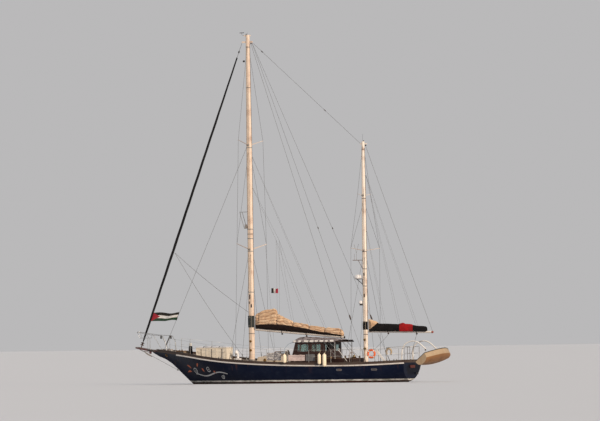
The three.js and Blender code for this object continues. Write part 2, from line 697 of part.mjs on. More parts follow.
function buildCoaming() {
  const { fore, aft, half, coaming } = COCKPIT;
  const ring = (grow, low, high) => box(aft - grow, fore + grow, -half - grow, half + grow, low, high);
  const wall = ring(110, 1080, coaming).subtract(ring(20, 1000, coaming + 20));
  const gate = box(fore - 40, HOUSE.aft, -DOOR.half - 60, DOOR.half + 60, DOOR.low - 15, 2000);
  const lining = box(aft + 2, fore - 2, 2 - half, half - 2, COCKPIT.sole + SEAT, 1200)
    .subtract(box(aft + 22, fore - 22, 22 - half, half - 22, 0, 2000));
  const hollow = ring(-22, 1000, coaming + 20);
  const rim = ring(30, deckTopAt(fore, 0) + 5, coaming).subtract(hollow);
  const well = box(aft + 2, fore - 2, 2 - half, half - 2, 1150, coaming).subtract(hollow);
  const seats = [1, -1].map((side) => {
    const edges = [side * SEAT_INNER, side * (half - 10)].sort((a, b) => a - b);
    return box(aft + 10, fore - 60, ...edges, COCKPIT.sole + SEAT, SEAT_TOP);
  });
  const all = union(wall, rim, lining, well, ...seats);
  return fit(all.subtract(gate), hull, deck, house);
}
const coaming = add("cockpit_coaming", buildCoaming(), "mahogany");

const roofParts = buildRoof();
add("pilothouse_roof", seat(union(roofParts.body, ...roofParts.posts), coaming), "white");

const WHEEL = { x: -4905, z: 1430, r: 420 };
const PEDESTAL_X = -5060;

function buildPedestal() {
  const column = box(PEDESTAL_X - 100, PEDESTAL_X + 100, -110, 110, COCKPIT.sole + SEAT, 1560);
  const binnacle = box(PEDESTAL_X - 80, PEDESTAL_X + 80, -90, 90, 1550, 1690);
  const shaft = bar(V(PEDESTAL_X, 0, WHEEL.z), V(WHEEL.x + 60, 0, WHEEL.z), 16, 16, 24);
  return union(column, binnacle, shaft);
}
add("steering_pedestal", buildPedestal(), "mahogany");

function buildWheel() {
  const rim = new THREE.TorusGeometry(WHEEL.r, 17, 5, 20);
  rim.rotateY(Math.PI / 2);
  rim.translate(WHEEL.x, 0, WHEEL.z);
  const hub = bar(V(WHEEL.x - 28, 0, WHEEL.z), V(WHEEL.x + 40, 0, WHEEL.z), 62, 50, 14);
  const spokes = [0, 1, 2, 3, 4, 5].map((i) => {
    const a = (i * Math.PI) / 3 + Math.PI / 6;
    const tip = V(WHEEL.x, (WHEEL.r + 95) * Math.cos(a), WHEEL.z + (WHEEL.r + 95) * Math.sin(a));
    return bar(V(WHEEL.x, 40 * Math.cos(a), WHEEL.z + 40 * Math.sin(a)), tip, 13, 10, 5);
  });
  const bore = bar(V(WHEEL.x - 60, 0, WHEEL.z), V(WHEEL.x + 61, 0, WHEEL.z), 17, 17, 24);
  return union(solid(rim), hub, ...spokes).subtract(bore);
}
add("steering_wheel", buildWheel(), "mahogany");

// The companionway door fills its opening in the aft wall and turns on two strap hinges at its port edge.
function buildDoor() {
  const { half, low, high } = DOOR;
  const aft = HOUSE.aft;
  const panel = box(aft + 6, aft + 44, 8 - half, half - 5, low + 5, high - 5);
  const straps = HINGE.levels.map((z) => {
    const leaf = box(aft - 12, aft - 2, half - 150, HINGE.y, z - 17, z + 17);
    const root = box(aft - 12, aft + 8, half - 150, half - 10, z - 17, z + 17);
    const barrel = bar(V(HINGE.x, HINGE.y, z - 17), V(HINGE.x, HINGE.y, z + 17), 12, 12, 12);
    const bore = bar(V(HINGE.x, HINGE.y, z - 30), V(HINGE.x, HINGE.y, z + 30), 5.6, 5.6, 16);
    return union(leaf, root, barrel).subtract(bore);
  });
  return union(panel, ...straps);
}
add("companionway_door", buildDoor(), "mahogany");

// Spars. Each mast is an oval tube that tapers to its head, and each spreader passes through it.
function buildMast(mast, low, crane) {
  const oval = (z, deep, wide) => {
    const points = [];
    for (let i = 0; i < 16; i++) {
      const a = (i * Math.PI) / 8;
      points.push(V(mast.x + (deep / 2) * Math.cos(a), (wide / 2) * Math.sin(a), z));
    }
    return points;
  };
  const knee = low + (mast.top - low) * 0.62;
  return union(
    loft([
      oval(low, mast.deep, mast.wide),
      oval(knee, mast.deep, mast.wide),
      oval(mast.top, mast.deepTop, mast.wideTop),
    ]),
    crane,
  );
}

// A pair of spreaders as one bar that rises and sweeps aft to its tips.
function buildSpreaders(mast, z, span, rise, sweep, thick) {
  const row = (y, up, back, half, height) => {
    const x = mast.x - back;
    return [
      V(x - half, y, z + up - height / 4), V(x, y, z + up + height / 2),
      V(x + half, y, z + up), V(x, y, z + up - height / 2),
    ];
  };
  const tip = [rise, sweep, thick * 0.7, thick * 0.5];
  const root = [0, 0, thick, thick * 0.8];
  return loft([row(-span, ...tip), row(-120, ...root), row(120, ...root), row(span, ...tip)]);
}

const SPREADERS = [
  // name, mast, z, half span, rise, sweep, thickness
  ["main_lower_spreaders", MAIN, 8260, 1900, 330, 90, 70],
  ["main_upper_spreaders", MAIN, 14690, 1590, 280, 110, 60],
  ["mizzen_lower_spreaders", MIZZEN, 8040, 1900, 150, 60, 55],
  ["mizzen_upper_spreaders", MIZZEN, 11400, 850, 90, 30, 45],
];
const spreaders = SPREADERS.map(([name, mast, z, span, rise, sweep, thick]) => {
  const at = { x: mast.x - sweep, y: span, z: z + rise };
  return { name, mast, at, piece: buildSpreaders(mast, z, span - WIRE_R - SEAT, rise, sweep, thick) };
});
const throughMast = (mast) => spreaders.filter((s) => s.mast === mast).map((s) => s.piece);

// Booms. Each turns on a gooseneck at its mast's aft face and carries its furled sail in a cover.
const MAIN_BOOM = { mast: MAIN, root: 1730, end: -4400, rootZ: 3335, endZ: 2770, r: 82 };
const MIZZEN_BOOM = { mast: MIZZEN, root: -6110, end: -10420, rootZ: 3105, endZ: 3010, r: 68 };
for (const boom of [MAIN_BOOM, MIZZEN_BOOM]) {
  boom.bolt = boom.mast.x - boom.mast.deep / 2 - 42;
  boom.boltZ = boom.rootZ + 4;
}
const boomZAt = (boom, x) => {
  const share = (x - boom.root) / (boom.end - boom.root);
  return boom.rootZ + share * (boom.endZ - boom.rootZ);
};

function buildBoom({ root, end, rootZ, endZ, r, bolt, boltZ }) {
  const pole = bar(V(root, 0, rootZ), V(end, 0, endZ), r, r * 0.92, 14);
  const neck = box(root - 60, bolt, -20, 20, boltZ - 22, boltZ + 22);
  const knuckle = bar(V(bolt, 0, boltZ - 44), V(bolt, 0, boltZ + 44), 24, 24, 14);
  const hole = bar(V(bolt, 0, boltZ - 60), V(bolt, 0, boltZ + 60), 11, 11, 14);
  return union(pole, neck, knuckle).subtract(hole);
}

// The fixed half of a gooseneck: two lugs on the mast and the pin between them.
function buildGooseneck({ mast, bolt, boltZ }) {
  const lug = (low) => union(
    box(bolt, mast.x, -26, 26, low, low + 14),
    bar(V(bolt, 0, low), V(bolt, 0, low + 14), 26, 26, 14),
  );
  const pin = bar(V(bolt, 0, boltZ - 66), V(bolt, 0, boltZ + 66), 10, 10, 14);
  return union(lug(boltZ + 45), lug(boltZ - 59), pin);
}

const mainCrane = union(
  box(MAIN.x - 330, MAIN.x + 400, -30, 30, 20990, 21090),
  box(MAIN.x - 200, MAIN.x + 250, -22, 22, 21400, 21470),
);

// A small white dome on a bracket low on the fore side of the mizzen mast.
function buildHorn() {
  const outline = [[0, 0], [95, 0], [135, 50], [130, 120], [85, 185], [0, 210]];
  const dome = turned(outline, 14, V(MIZZEN.x + 300, 0, 4790));
  return union(dome, box(MIZZEN.x + 60, MIZZEN.x + 360, -40, 40, 4700, 4800));
}

const mizzenCrane = union(
  box(MIZZEN.x - 260, MIZZEN.x + 190, -22, 22, 14520, 14590),
  buildHorn(),
  ...spreaders.filter((s) => s.name === "mizzen_upper_spreaders").map((s) => s.piece),
);
const MASTS = [
  ["main_mast", MAIN, mainCrane, MAIN_BOOM, ["main_lower_spreaders", "main_upper_spreaders"]],
  ["mizzen_mast", MIZZEN, mizzenCrane, MIZZEN_BOOM, ["mizzen_lower_spreaders"]],
];
for (const [name, mast, crane, boom, through] of MASTS) {
  const body = union(buildMast(mast, deckTopAt(mast.x, 0) - 30, crane), buildGooseneck(boom));
  const passing = spreaders.filter((s) => through.includes(s.name)).map((s) => s.piece);
  add(name, fit(seat(body, deck), ...passing), "cream");
  for (const s of spreaders.filter((item) => through.includes(item.name))) add(s.name, s.piece, "cream");
}
const mainMast = made.main_mast;
const mizzenMast = made.mizzen_mast;
add("main_boom", buildBoom(MAIN_BOOM), "cream");
add("mizzen_boom", buildBoom(MIZZEN_BOOM), "cream");

// A lofted body along a boom. Each row gives the level of its foot and crown above the boom's centreline.
function alongBoom(boom, rows) {
  return loft(rows.map(([x, foot, crown, half]) => {
    const z = boomZAt(boom, x);
    const shoulder = foot + (crown - foot) * 0.72;
    const side = [[half * 0.8, foot], [half, (foot + shoulder) / 2], [half * 0.72, shoulder]];
    const port = side.map(([y, up]) => V(x, y, z + up));
    const starboard = side.map(([y, up]) => V(x, -y, z + up)).reverse();
    return [...port, V(x, 0, z + crown), ...starboard];
  }));
}
const MAIN_COVER = [
  // x, foot, crown, half width
  [1700, 20, 250, 120],
  [1300, 20, 320, 165],
  [500, 10, 400, 180],
  [-650, 5, 420, 170],
  [-1500, 5, 350, 150],
  [-3050, 10, 190, 120],
  [-4250, 20, 110, 100],
];
const MAIN_SAIL = [
  [1690, 150, 900, 110],
  [1560, 170, 1080, 170],
  [950, 220, 1280, 210],
  [430, 250, 1400, 190],
  [230, 250, 1080, 190],
  [-200, 260, 900, 185],
  [-850, 250, 650, 180],
  [-1550, 190, 590, 170],
  [-2730, 110, 480, 160],
  [-4120, 70, 480, 130],
  [-4360, 80, 300, 90],
];
const MIZZEN_COVER = [
  [-6090, -60, 480, 110],
  [-6300, 20, 500, 130],
  [-7000, 10, 500, 150],
  [-8200, 10, 470, 145],
  [-9200, 15, 440, 130],
  [-10050, 20, 330, 100],
];
const mainCover = add(
  "main_sail_cover",
  fit(alongBoom(MAIN_BOOM, MAIN_COVER), made.main_boom),
  "black",
);
add("main_sail", fit(alongBoom(MAIN_BOOM, MAIN_SAIL), mainCover, made.main_boom), "sailcloth");
add("mizzen_sail_cover", fit(alongBoom(MIZZEN_BOOM, MIZZEN_COVER), made.mizzen_boom), "black");

// Standing rigging. Every wire runs between a fitting on the mast and one on the deck, stem or rail.
function wires(...runs) {
  return union(runs.map((points) => rod(points, WIRE_R, 4)));
}

const CHAIN_OUT = 20;
const POST_IN = 22;
const BACKSTAY_X = -6750;

function buildShrouds(side, mast, levels, feet, headZ) {
  const [lower, upper] = levels;
  const rail = feet.map((off) => {
    const x = mast.x + off;
    return V(x, side * (railYAt(x) + CHAIN_OUT), capTopAt(x) - 20);
  });
  const tip = (level) => V(level.at.x, side * level.at.y, level.at.z);
  const head = V(mast.x, side * 60, headZ);
  const belowLower = V(mast.x, side * 60, lower.at.z - 450);
  const plate = loft([feet[0] + 70, feet[2] - 70].map((off) => {
    const x = mast.x + off;
    const y = side * (railYAt(x) + CHAIN_OUT);
    const z = capTopAt(x);
    return [V(x, y - 14, z - 15), V(x, y + 14, z - 15), V(x, y + 14, z + 12), V(x, y - 14, z + 12)];
  }));
  const screws = rail.map((foot, i) => {
    const top = i === 1 ? tip(lower) : belowLower;
    const along = top.clone().sub(foot).normalize();
    const [low, high] = [60, 420].map((d) => foot.clone().addScaledVector(along, d));
    return bar(low, high, 17, 17, 6);
  });
  const runs = wires(
    [rail[1], tip(lower), tip(upper), head],
    [rail[0], belowLower.clone().add(V(70, 0, 0))],
    [rail[2], belowLower.clone().add(V(-70, 0, 0))],
    [tip(lower), V(mast.x, side * 50, upper.at.z - 500)],
  );
  const around = [made[mast === MAIN ? "main_mast" : "mizzen_mast"], lower.piece, upper.piece];
  return fit(union(runs, plate, ...screws), bulwark, ...around);
}
const levelOf = (name) => spreaders.find((s) => s.name === name);
for (const [name, side] of SIDES) {
  const levels = [levelOf("main_lower_spreaders"), levelOf("main_upper_spreaders")];
  add(`main_shrouds_${name}`, buildShrouds(side, MAIN, levels, [450, 0, -480], 20900), "steel");
}
for (const [name, side] of SIDES) {
  const levels = [levelOf("mizzen_lower_spreaders"), levelOf("mizzen_upper_spreaders")];
  add(`mizzen_shrouds_${name}`, buildShrouds(side, MIZZEN, levels, [420, 0, -520], 14450), "steel");
}

function buildBackstays() {
  const head = V(MAIN.x - 290, 0, 21000);
  const sides = [1, -1].map((side) => {
    const y = side * (railYAt(BACKSTAY_X) - 110);
    const foot = V(BACKSTAY_X, y, deckTopAt(BACKSTAY_X, y) - 20);
    const along = head.clone().sub(foot).normalize();
    const [low, high] = [50, 520].map((d) => foot.clone().addScaledVector(along, d));
    const screw = bar(low, high, 20, 20, 6);
    return union(bar(foot, head, WIRE_R, WIRE_R, 5), screw);
  });
  const eye = bar(V(head.x, -18, head.z + 5), V(head.x, 18, head.z + 5), 16, 16, 8);
  return fit(union(...sides, eye), mainMast, deck);
}
add("main_backstays", buildBackstays(), "steel");
function buildTriatic() {
  const wire = bar(V(MAIN.x - 250, 0, 21060), V(MIZZEN.x + 150, 0, 14560), WIRE_R, WIRE_R, 6);
  const aftOfMain = wire.subtract(mainMast.translate([-SEAT, 0, 0]));
  return largest(aftOfMain.subtract(mizzenMast.translate([SEAT, 0, 0])));
}
add("triatic_stay", buildTriatic(), "steel");

const FORESTAY = { foot: V(9855, 0, 2290), head: V(2420, 0, 21030) };
function buildHeadsail() {
  const { foot, head } = FORESTAY;
  const along = head.clone().sub(foot).normalize();
  const at = (d) => foot.clone().addScaledVector(along, d);
  const length = head.distanceTo(foot);
  return fit(
    union(
      bar(foot, head, 9, 9, 6),
      bar(at(170), at(190), 120, 120, 12),
      bar(at(185), at(320), 60, 60, 8),
      bar(at(315), at(335), 120, 120, 12),
      bar(at(330), at(620), 40, 62, 8),
      bar(at(600), at(6000), 66, 84, 8),
      bar(at(5990), at(length - 700), 84, 45, 8),
      bar(at(length - 710), at(length - 500), 45, 30, 8),
    ),
    bowsprit,
    mainMast,
  );
}
add("furled_headsail", buildHeadsail(), "black");

function buildInnerStay() {
  const foot = V(8280, 0, deckTopAt(8280, 0) - 20);
  const head = V(MAIN.x + 150, 0, 14600);
  const along = head.clone().sub(foot).normalize();
  const at = (d) => foot.clone().addScaledVector(along, d);
  const stay = union(bar(foot, head, 9, 9, 6), bar(at(420), at(1120), 34, 34, 8));
  return fit(stay, deck, mainMast, bowsprit, made.main_upper_spreaders);
}
add("inner_forestay", buildInnerStay(), "steel");

// Guard rails: stanchions on the rail cap with two wires through them, and half of the stern rail.
const STANCHION_X = [6900, 5600, 4300, 3000, 1200, -200, -1650, -3100, -4550, -5750, -7300];
function buildGuardRail(side) {
  const on = (x, up) => V(x, side * (railYAt(x) - POST_IN), capTopAt(x) + up);
  const posts = STANCHION_X.map((x) => bar(on(x, -15), on(x, STANCHION_HIGH + 12), 13, 13, 5));
  const line = (share) => {
    const points = STANCHION_X.map((x) => on(x, STANCHION_HIGH * share));
    return rod([on(7400, STANCHION_HIGH * share), ...points, on(-8000, STANCHION_HIGH * share)], 6, 4);
  };
  const stern = [on(-8000, 0), on(-8000, 800), on(-8850, 790)];
  const aftCap = capTopAt(TRANSOM_X);
  const across = (y, up) => V(-9010, side * y, aftCap + up);
  const rail = rod([...stern, across(1000, 780), across(250, 780), across(250, -15)], RAIL_R, 6);
  const mid = rod([on(-8000, 400), on(-8850, 395), across(1000, 390), across(250, 390)], 12, 4);
  const front = bar(on(7400, -15), on(7400, STANCHION_HIGH), 13, 13, 6);
  const post = bar(across(1000, -15), across(1000, 780), RAIL_R, RAIL_R, 6);
  return seat(union(...posts, front, line(1), line(0.5), rail, mid, post), bulwark);
}
for (const [name, side] of SIDES) add(`guard_rail_${name}`, buildGuardRail(side), "steel");

// Two tube davits over the transom, joined by a cross tube.
const DAVIT_Y = 720;
const DAVIT_TIP = { x: -10330, z: 1990 };
const DAVIT_LINE = [
  // x, z
  [-8700, 1050],
  [-8700, 1900],
  [-8900, 2330],
  [-9400, 2500],
  [-9820, 2430],
  [DAVIT_TIP.x, DAVIT_TIP.z],
];

function buildDavits(tender) {
  const arm = (side) => tube(DAVIT_LINE.map(([x, z]) => V(x, side * DAVIT_Y, z)), 38, 12, 8);
  const cross = bar(V(-8790, -DAVIT_Y, 2130), V(-8790, DAVIT_Y, 2130), 22, 22, 8);
  const foot = (side) => {
    const y = side * DAVIT_Y;
    return box(-8790, -8610, y - 90, y + 90, 1150, 1290);
  };
  const fall = (side) => {
    const head = V(DAVIT_TIP.x + 25, side * DAVIT_Y, DAVIT_TIP.z);
    return bar(head, liftingPoint(side), 12, 12, 6);
  };
  const both = [1, -1].flatMap((side) => [arm(side), foot(side), fall(side)]);
  return fit(union(...both, cross), deck, tender);
}

// The tender hangs across the stern, rolled so that its bottom faces aft.
// It is drawn keel down with its bow along +X.
const TENDER = { x: -10340, y: 1280, z: 1320, roll: -0.65, turn: 0.1, pitch: 0.09 };
const THWARTS = { high: 285, thick: 35, wide: 230, at: [565, 2010] };

function buildTender() {
  const outer = [
    // x, half width, gunwale, keel
    [0, 430, 470, 40],
    [700, 560, 460, 10],
    [1600, 620, 465, 0],
    [2400, 500, 500, 20],
    [3000, 230, 550, 110],
    [3300, 25, 590, 330],
  ];
  const shell = (inset, lift) => loft(outer.map(([x, half, rim, keel], i) => {
    const end = i === outer.length - 1;
    const w = Math.max(half - inset, end ? 4 : 30);
    const low = keel + lift;
    const aft = i === 0 ? inset : 0;
    const station = x + (end ? -inset * 1.4 : aft);
    const rimTop = rim + (lift ? 60 : 0);
    const side = [[w, rimTop], [w * 0.97, (low + rim) / 2], [w * 0.78, low + (rim - low) * 0.12]];
    const port = side.map(([y, z]) => V(station, y, z));
    const starboard = side.map(([y, z]) => V(station, -y, z)).reverse();
    return [...port, V(station, 0, low), ...starboard];
  }));
  const { high, thick, wide } = THWARTS;
  const thwarts = THWARTS.at.map((x) =>
    box(x - wide / 2, x + wide / 2, -700, 700, high - thick, high).intersect(shell(0, 0)),
  );
  const lip = (side) => loft(outer.map(([x, half, rim]) => {
    const y = side * half;
    return [V(x, y - 22, rim - 30), V(x, y + 22, rim - 30), V(x, y + 22, rim + 14), V(x, y - 22, rim + 14)];
  }));
  const open = shell(0, 0).subtract(shell(24, 26));
  return union(open, ...thwarts, lip(1), lip(-1));
}

const tenderPlace = new THREE.Matrix4()
  .makeTranslation(TENDER.x, TENDER.y, TENDER.z)
  .multiply(new THREE.Matrix4().makeRotationZ(-Math.PI / 2 - TENDER.turn))
  .multiply(new THREE.Matrix4().makeRotationY(-TENDER.pitch))
  .multiply(new THREE.Matrix4().makeRotationX(TENDER.roll))
  .multiply(new THREE.Matrix4().makeTranslation(0, 0, -250));
// Where the davit's fall is hooked: the middle of a thwart, a little below its top.
const liftingPoint = (side) =>
  V(THWARTS.at[side > 0 ? 0 : 1], 0, THWARTS.high - 10).applyMatrix4(tenderPlace);

const tender = add("tender", buildTender().transform(tenderPlace.elements), "fenderWhite");
add("stern_davits", buildDavits(tender), "white");

// Aerials on the mizzen mast: radar dome, weather dome and the small platforms that carry them.
function buildRadar() {
  const { x } = MIZZEN;
  const outline = [[0, 0], [200, 0], [238, 60], [240, 130], [215, 200], [120, 255], [0, 262]];
  const dome = turned(outline, 18, V(x + 460, 0, 6320));
  const arm = box(x + 60, x + 620, -60, 60, 6290, 6325);
  const strut = bar(V(x + 80, 0, 5960), V(x + 540, 0, 6300), 22, 22, 6);
  const back = box(x + 60, x + 150, -60, 60, 5930, 6325);
  return fit(union(dome, arm, strut, back), mizzenMast);
}
add("radar", buildRadar(), "white");

function buildAerialPlatform() {
  const { x } = MIZZEN;
  const shelf = box(x + 60, x + 780, -90, 90, 7440, 7480);
  const strut = bar(V(x + 60, 0, 6780), V(x + 430, 0, 7450), 18, 18, 6);
  const whip = (dx, up) => bar(V(x + dx, 0, 7470), V(x + dx, 0, 7470 + up), 9, 9, 5);
  const fork = [-1, 1].map((side) => bar(V(x + 560, 0, 7900), V(x + 560, side * 300, 8450), 9, 9, 5));
  return fit(union(shelf, strut, whip(560, 450), whip(700, 380), ...fork), mizzenMast);
}
add("aerial_platform", buildAerialPlatform(), "steel");

function buildMastFrame() {
  const { x } = MAIN;
  const front = x + 640;
  const high = 10570;
  const low = 9560;
  const corners = [[x + 100, high], [front, high], [x + 330, low], [x + 100, low]];
  const runs = [160, -160].map((y) => rod(corners.map(([cx, cz]) => V(cx, y, cz)), 16, 4));
  const ties = [[front, high], [x + 330, low], [x + 150, high], [x + 150, low]].map(([tx, tz]) =>
    bar(V(tx, -160, tz), V(tx, 160, tz), 16, 16, 4),
  );
  const lamp = bar(V(x + 300, 0, low), V(x + 300, 0, low + 240), 90, 70, 12);
  const stubs = [[low, 420], [high, 160]].map(([z, out]) => bar(V(x + 50, 0, z), V(x + out, 0, z), 16));
  return fit(union(...runs, ...ties, lamp, ...stubs), mainMast);
}
add("mast_lamp_frame", buildMastFrame(), "steel");

// Gear hung on the port guard rail.
const onRail = (x, out, z) => V(x, railYAt(x) + out, z);

function buildLifeRing() {
  const ring = new THREE.TorusGeometry(225, 62, 8, 20);
  ring.rotateX(Math.PI / 2);
  const at = onRail(-7060, -POST_IN - 71, 1740);
  ring.translate(at.x, at.y, at.z);
  return fit(solid(ring), made.guard_rail_port, bulwark);
}
add("life_ring", buildLifeRing(), "orange");

const FENDERS = [
  // x, low, high, radius
  [-1570, 1240, 1790, 105],
  [-3900, 1130, 1790, 105],
  [-4240, 990, 1790, 115],
];
FENDERS.forEach(([x, low, high, r], i) => {
  const g = new THREE.CapsuleGeometry(r, high - low - 2 * r, 4, 12);
  g.rotateX(Math.PI / 2);
  const at = onRail(x, BULWARK_THICK / 2 + CAP_OVERHANG + STRAKE_DEEP + r - 10, (low + high) / 2);
  g.translate(at.x, at.y, at.z);
  const wire = onRail(x, -POST_IN - 14, capTopAt(x) + STANCHION_HIGH);
  const lanyard = bar(V(at.x, at.y, high - 20), wire, 6, 6, 5);
  add(`fender_${i + 1}`, fit(union(solid(g), lanyard), made.guard_rail_port), "fenderWhite");
});

function buildWeatherCloth() {
  const stations = [-80, -1000, -2000, -3000, -3620];
  return fit(
    loft(stations.map((x) => {
      const y = railYAt(x) - POST_IN - 18.5;
      const low = capTopAt(x) + 12;
      return [V(x, y - 4, low), V(x, y + 4, low), V(x, y + 4, low + 365), V(x, y - 4, low + 365)];
    })),
    made.guard_rail_port,
  );
}
add("weather_cloth_port", buildWeatherCloth(), "white");

// The flag is stretched between the headsail's stay and the inner forestay.
function buildBowFlag() {
  const rows = [
    // x of the lower edge, y, z, then x and z of the upper edge
    [9130, 0, 3910, 8910, 4470],
    [8200, 35, 3900, 8000, 4500],
    [7335, 0, 3930, 7100, 4420],
  ];
  return loft(rows.map(([x, y, z, xTop, zTop]) => [
    V(x, y - 3, z), V(x, y + 3, z), V(xTop, y + 3, zTop), V(xTop, y - 3, zTop),
  ]));
}
add("bow_flag", fit(buildBowFlag(), made.furled_headsail, made.inner_forestay), "white");

export default group;
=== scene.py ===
"""A two-masted cruising yacht afloat with its sails furled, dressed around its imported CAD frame.

Metres, +X towards the bow, +Y to port, +Z up. The origin lies on the waterline at mid length.
"""

from math import atan, atan2, copysign, cos, exp, pi, radians, sin

import bpy
import numpy as np
from mathutils import Matrix, Vector, noise
from mathutils.bvhtree import BVHTree


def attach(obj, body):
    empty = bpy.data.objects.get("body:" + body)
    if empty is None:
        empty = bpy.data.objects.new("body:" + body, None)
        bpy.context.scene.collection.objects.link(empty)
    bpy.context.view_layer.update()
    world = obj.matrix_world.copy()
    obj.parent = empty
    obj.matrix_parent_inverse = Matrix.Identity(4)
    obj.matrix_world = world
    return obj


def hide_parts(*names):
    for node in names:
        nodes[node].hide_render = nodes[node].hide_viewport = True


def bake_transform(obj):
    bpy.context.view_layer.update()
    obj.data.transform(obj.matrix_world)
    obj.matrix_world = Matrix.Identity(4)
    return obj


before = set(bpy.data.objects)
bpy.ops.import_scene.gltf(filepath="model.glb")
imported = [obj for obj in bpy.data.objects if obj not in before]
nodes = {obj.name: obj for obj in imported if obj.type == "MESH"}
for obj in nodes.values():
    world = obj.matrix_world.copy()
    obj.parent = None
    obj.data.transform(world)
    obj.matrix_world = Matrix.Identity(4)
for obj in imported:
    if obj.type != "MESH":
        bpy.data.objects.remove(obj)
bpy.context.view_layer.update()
ROOT = "hull_and_rig"

# Studio. The camera stands low over the water, far off the port quarter, and is rolled a little because the
# masts lean in the picture. The floor is still pale water level; the key light comes low from the stern.
PIXELS_PER_METRE = 16.3
PICTURE_WIDE = 600
CAMERA_FAR = 400.0
CAMERA_HIGH = 2.67
CAMERA_AZIMUTH = radians(208)
CAMERA_LEAN = radians(0.8)
LOOK_AT = Vector((-1.456, 0.0, 10.58))
FLOOR_HALF = 1500.0


def add_object(name, data):
    thing = bpy.data.objects.new(name, data)
    bpy.context.scene.collection.objects.link(thing)
    return thing


def set_up_camera():
    data = bpy.data.cameras.new("photo_camera")
    camera = add_object("photo_camera", data)
    place = Vector((sin(CAMERA_AZIMUTH), -cos(CAMERA_AZIMUTH), 0)) * CAMERA_FAR + LOOK_AT
    place.z = CAMERA_HIGH
    back = (place - LOOK_AT).normalized()
    level = Vector((-back.y, back.x, 0)).normalized()
    upright = back.cross(level)
    right = level * cos(CAMERA_LEAN) - upright * sin(CAMERA_LEAN)
    up = upright * cos(CAMERA_LEAN) + level * sin(CAMERA_LEAN)
    camera.matrix_world = Matrix.Translation(place) @ Matrix((right, up, back)).transposed().to_4x4()
    data.sensor_width = 36.0
    data.lens = data.sensor_width * (place - LOOK_AT).length * PIXELS_PER_METRE / PICTURE_WIDE
    data.clip_start = 10.0
    data.clip_end = 4000.0
    bpy.context.scene.camera = camera


def add_sun(name, towards, strength, colour, spread):
    data = bpy.data.lights.new(name, "SUN")
    data.energy = strength
    data.color = colour
    data.angle = radians(spread)
    lamp = add_object(name, data)
    lamp.rotation_mode = "QUATERNION"
    lamp.rotation_quaternion = Vector(towards).to_track_quat("Z", "Y")


def make_studio():
    world = bpy.data.worlds.new("studio")
    world.use_nodes = True
    sky = world.node_tree.nodes["Background"]
    sky.inputs["Color"].default_value = (0.49, 0.485, 0.49, 1)
    sky.inputs["Strength"].default_value = 1.0
    bpy.context.scene.world = world
    bpy.context.scene.view_settings.view_transform = "Standard"
    add_sun("key", (-0.86, 0.5, 0.4), 3.4, (1.0, 0.84, 0.66), 5)
    add_sun("fill", (0.7, -0.6, 0.8), 0.35, (0.86, 0.92, 1.0), 30)
    mesh = bpy.data.meshes.new("floor")
    corners = [(x * FLOOR_HALF, y * FLOOR_HALF, 0) for x, y in ((-1, -1), (1, -1), (1, 1), (-1, 1))]
    mesh.from_pydata(corners, [], [(0, 1, 2, 3)])
    pale = bpy.data.materials.new("pale_floor")
    pale.use_nodes = True
    shader = pale.node_tree.nodes["Principled BSDF"]
    shader.inputs["Base Color"].default_value = (0.56, 0.57, 0.6, 1)
    shader.inputs["Roughness"].default_value = 0.6
    mesh.materials.append(pale)
    add_object("floor", mesh)


set_up_camera()
make_studio()

# Hull. Welded plates, fair and round bilged, with a clipper bow and a small transom. Dark navy enamel over a
# white boot-top and antifouling; salt, rust runs and a painted scroll at the bow. Its solid is the CAD node.
NAVY = (0.0026, 0.0052, 0.018)
BOOT_TOP = (0.62, 0.6, 0.58)
ANTIFOULING = (0.035, 0.012, 0.01)
RUST = (0.16, 0.055, 0.02)
DIRT = (0.12, 0.08, 0.055)
BOOT_TOP_LOW = 0.12
BOOT_TOP_HIGH = 0.21


def feed(socket, value):
    """Gives a socket its value: the output of another node, a number or a colour."""
    if isinstance(value, bpy.types.NodeSocket):
        socket.id_data.links.new(value, socket)
    elif socket.type == "RGBA" and len(value) == 3:
        socket.default_value = (*value, 1)
    else:
        socket.default_value = value


def put(tree, kind, **values):
    """A shader node with its settings and inputs by name, where an underscore stands for a space."""
    node = tree.nodes.new(kind)
    for name, value in values.items():
        if hasattr(node, name):
            setattr(node, name, value)
        else:
            feed(node.inputs[name.replace("_", " ")], value)
    return node


def tree_of(*values):
    """The node tree of the first socket among the values."""
    return next(value.id_data for value in values if isinstance(value, bpy.types.NodeSocket))


def sum_of(operation, first, second, clamp=False):
    """The output of a Math node."""
    node = put(tree_of(first, second), "ShaderNodeMath", operation=operation, use_clamp=clamp)
    feed(node.inputs[0], first)
    feed(node.inputs[1], second)
    return node.outputs[0]


def times(first, second):
    return sum_of("MULTIPLY", first, second)


def blend_of(share, first, second, how="MIX"):
    """The output of a colour Mix node."""
    node = put(tree_of(share, first, second), "ShaderNodeMix", data_type="RGBA", blend_type=how)
    for socket, value in ((0, share), (6, first), (7, second)):
        feed(node.inputs[socket], value)
    return node.outputs[2]


def place_of(tree):
    return put(tree, "ShaderNodeTexCoord").outputs["Object"]


def axes_of(vector):
    return put(vector.id_data, "ShaderNodeSeparateXYZ", Vector=vector).outputs


def noise_of(tree, scale, detail=3.0, stretch=(1, 1, 1)):
    """A noise value over the object's own coordinates, stretched along the axes."""
    spread = put(tree, "ShaderNodeMapping", Scale=stretch, Vector=place_of(tree))
    grain = put(tree, "ShaderNodeTexNoise", Scale=scale, Detail=detail, Vector=spread.outputs["Vector"])
    return grain.outputs["Fac"]


def ramp_of(value, low, high):
    """The value spread from 0 at low to 1 at high."""
    node = put(value.id_data, "ShaderNodeMapRange", From_Min=low, From_Max=high, Value=value)
    node.interpolation_type = "SMOOTHSTEP"
    return node.outputs["Result"]


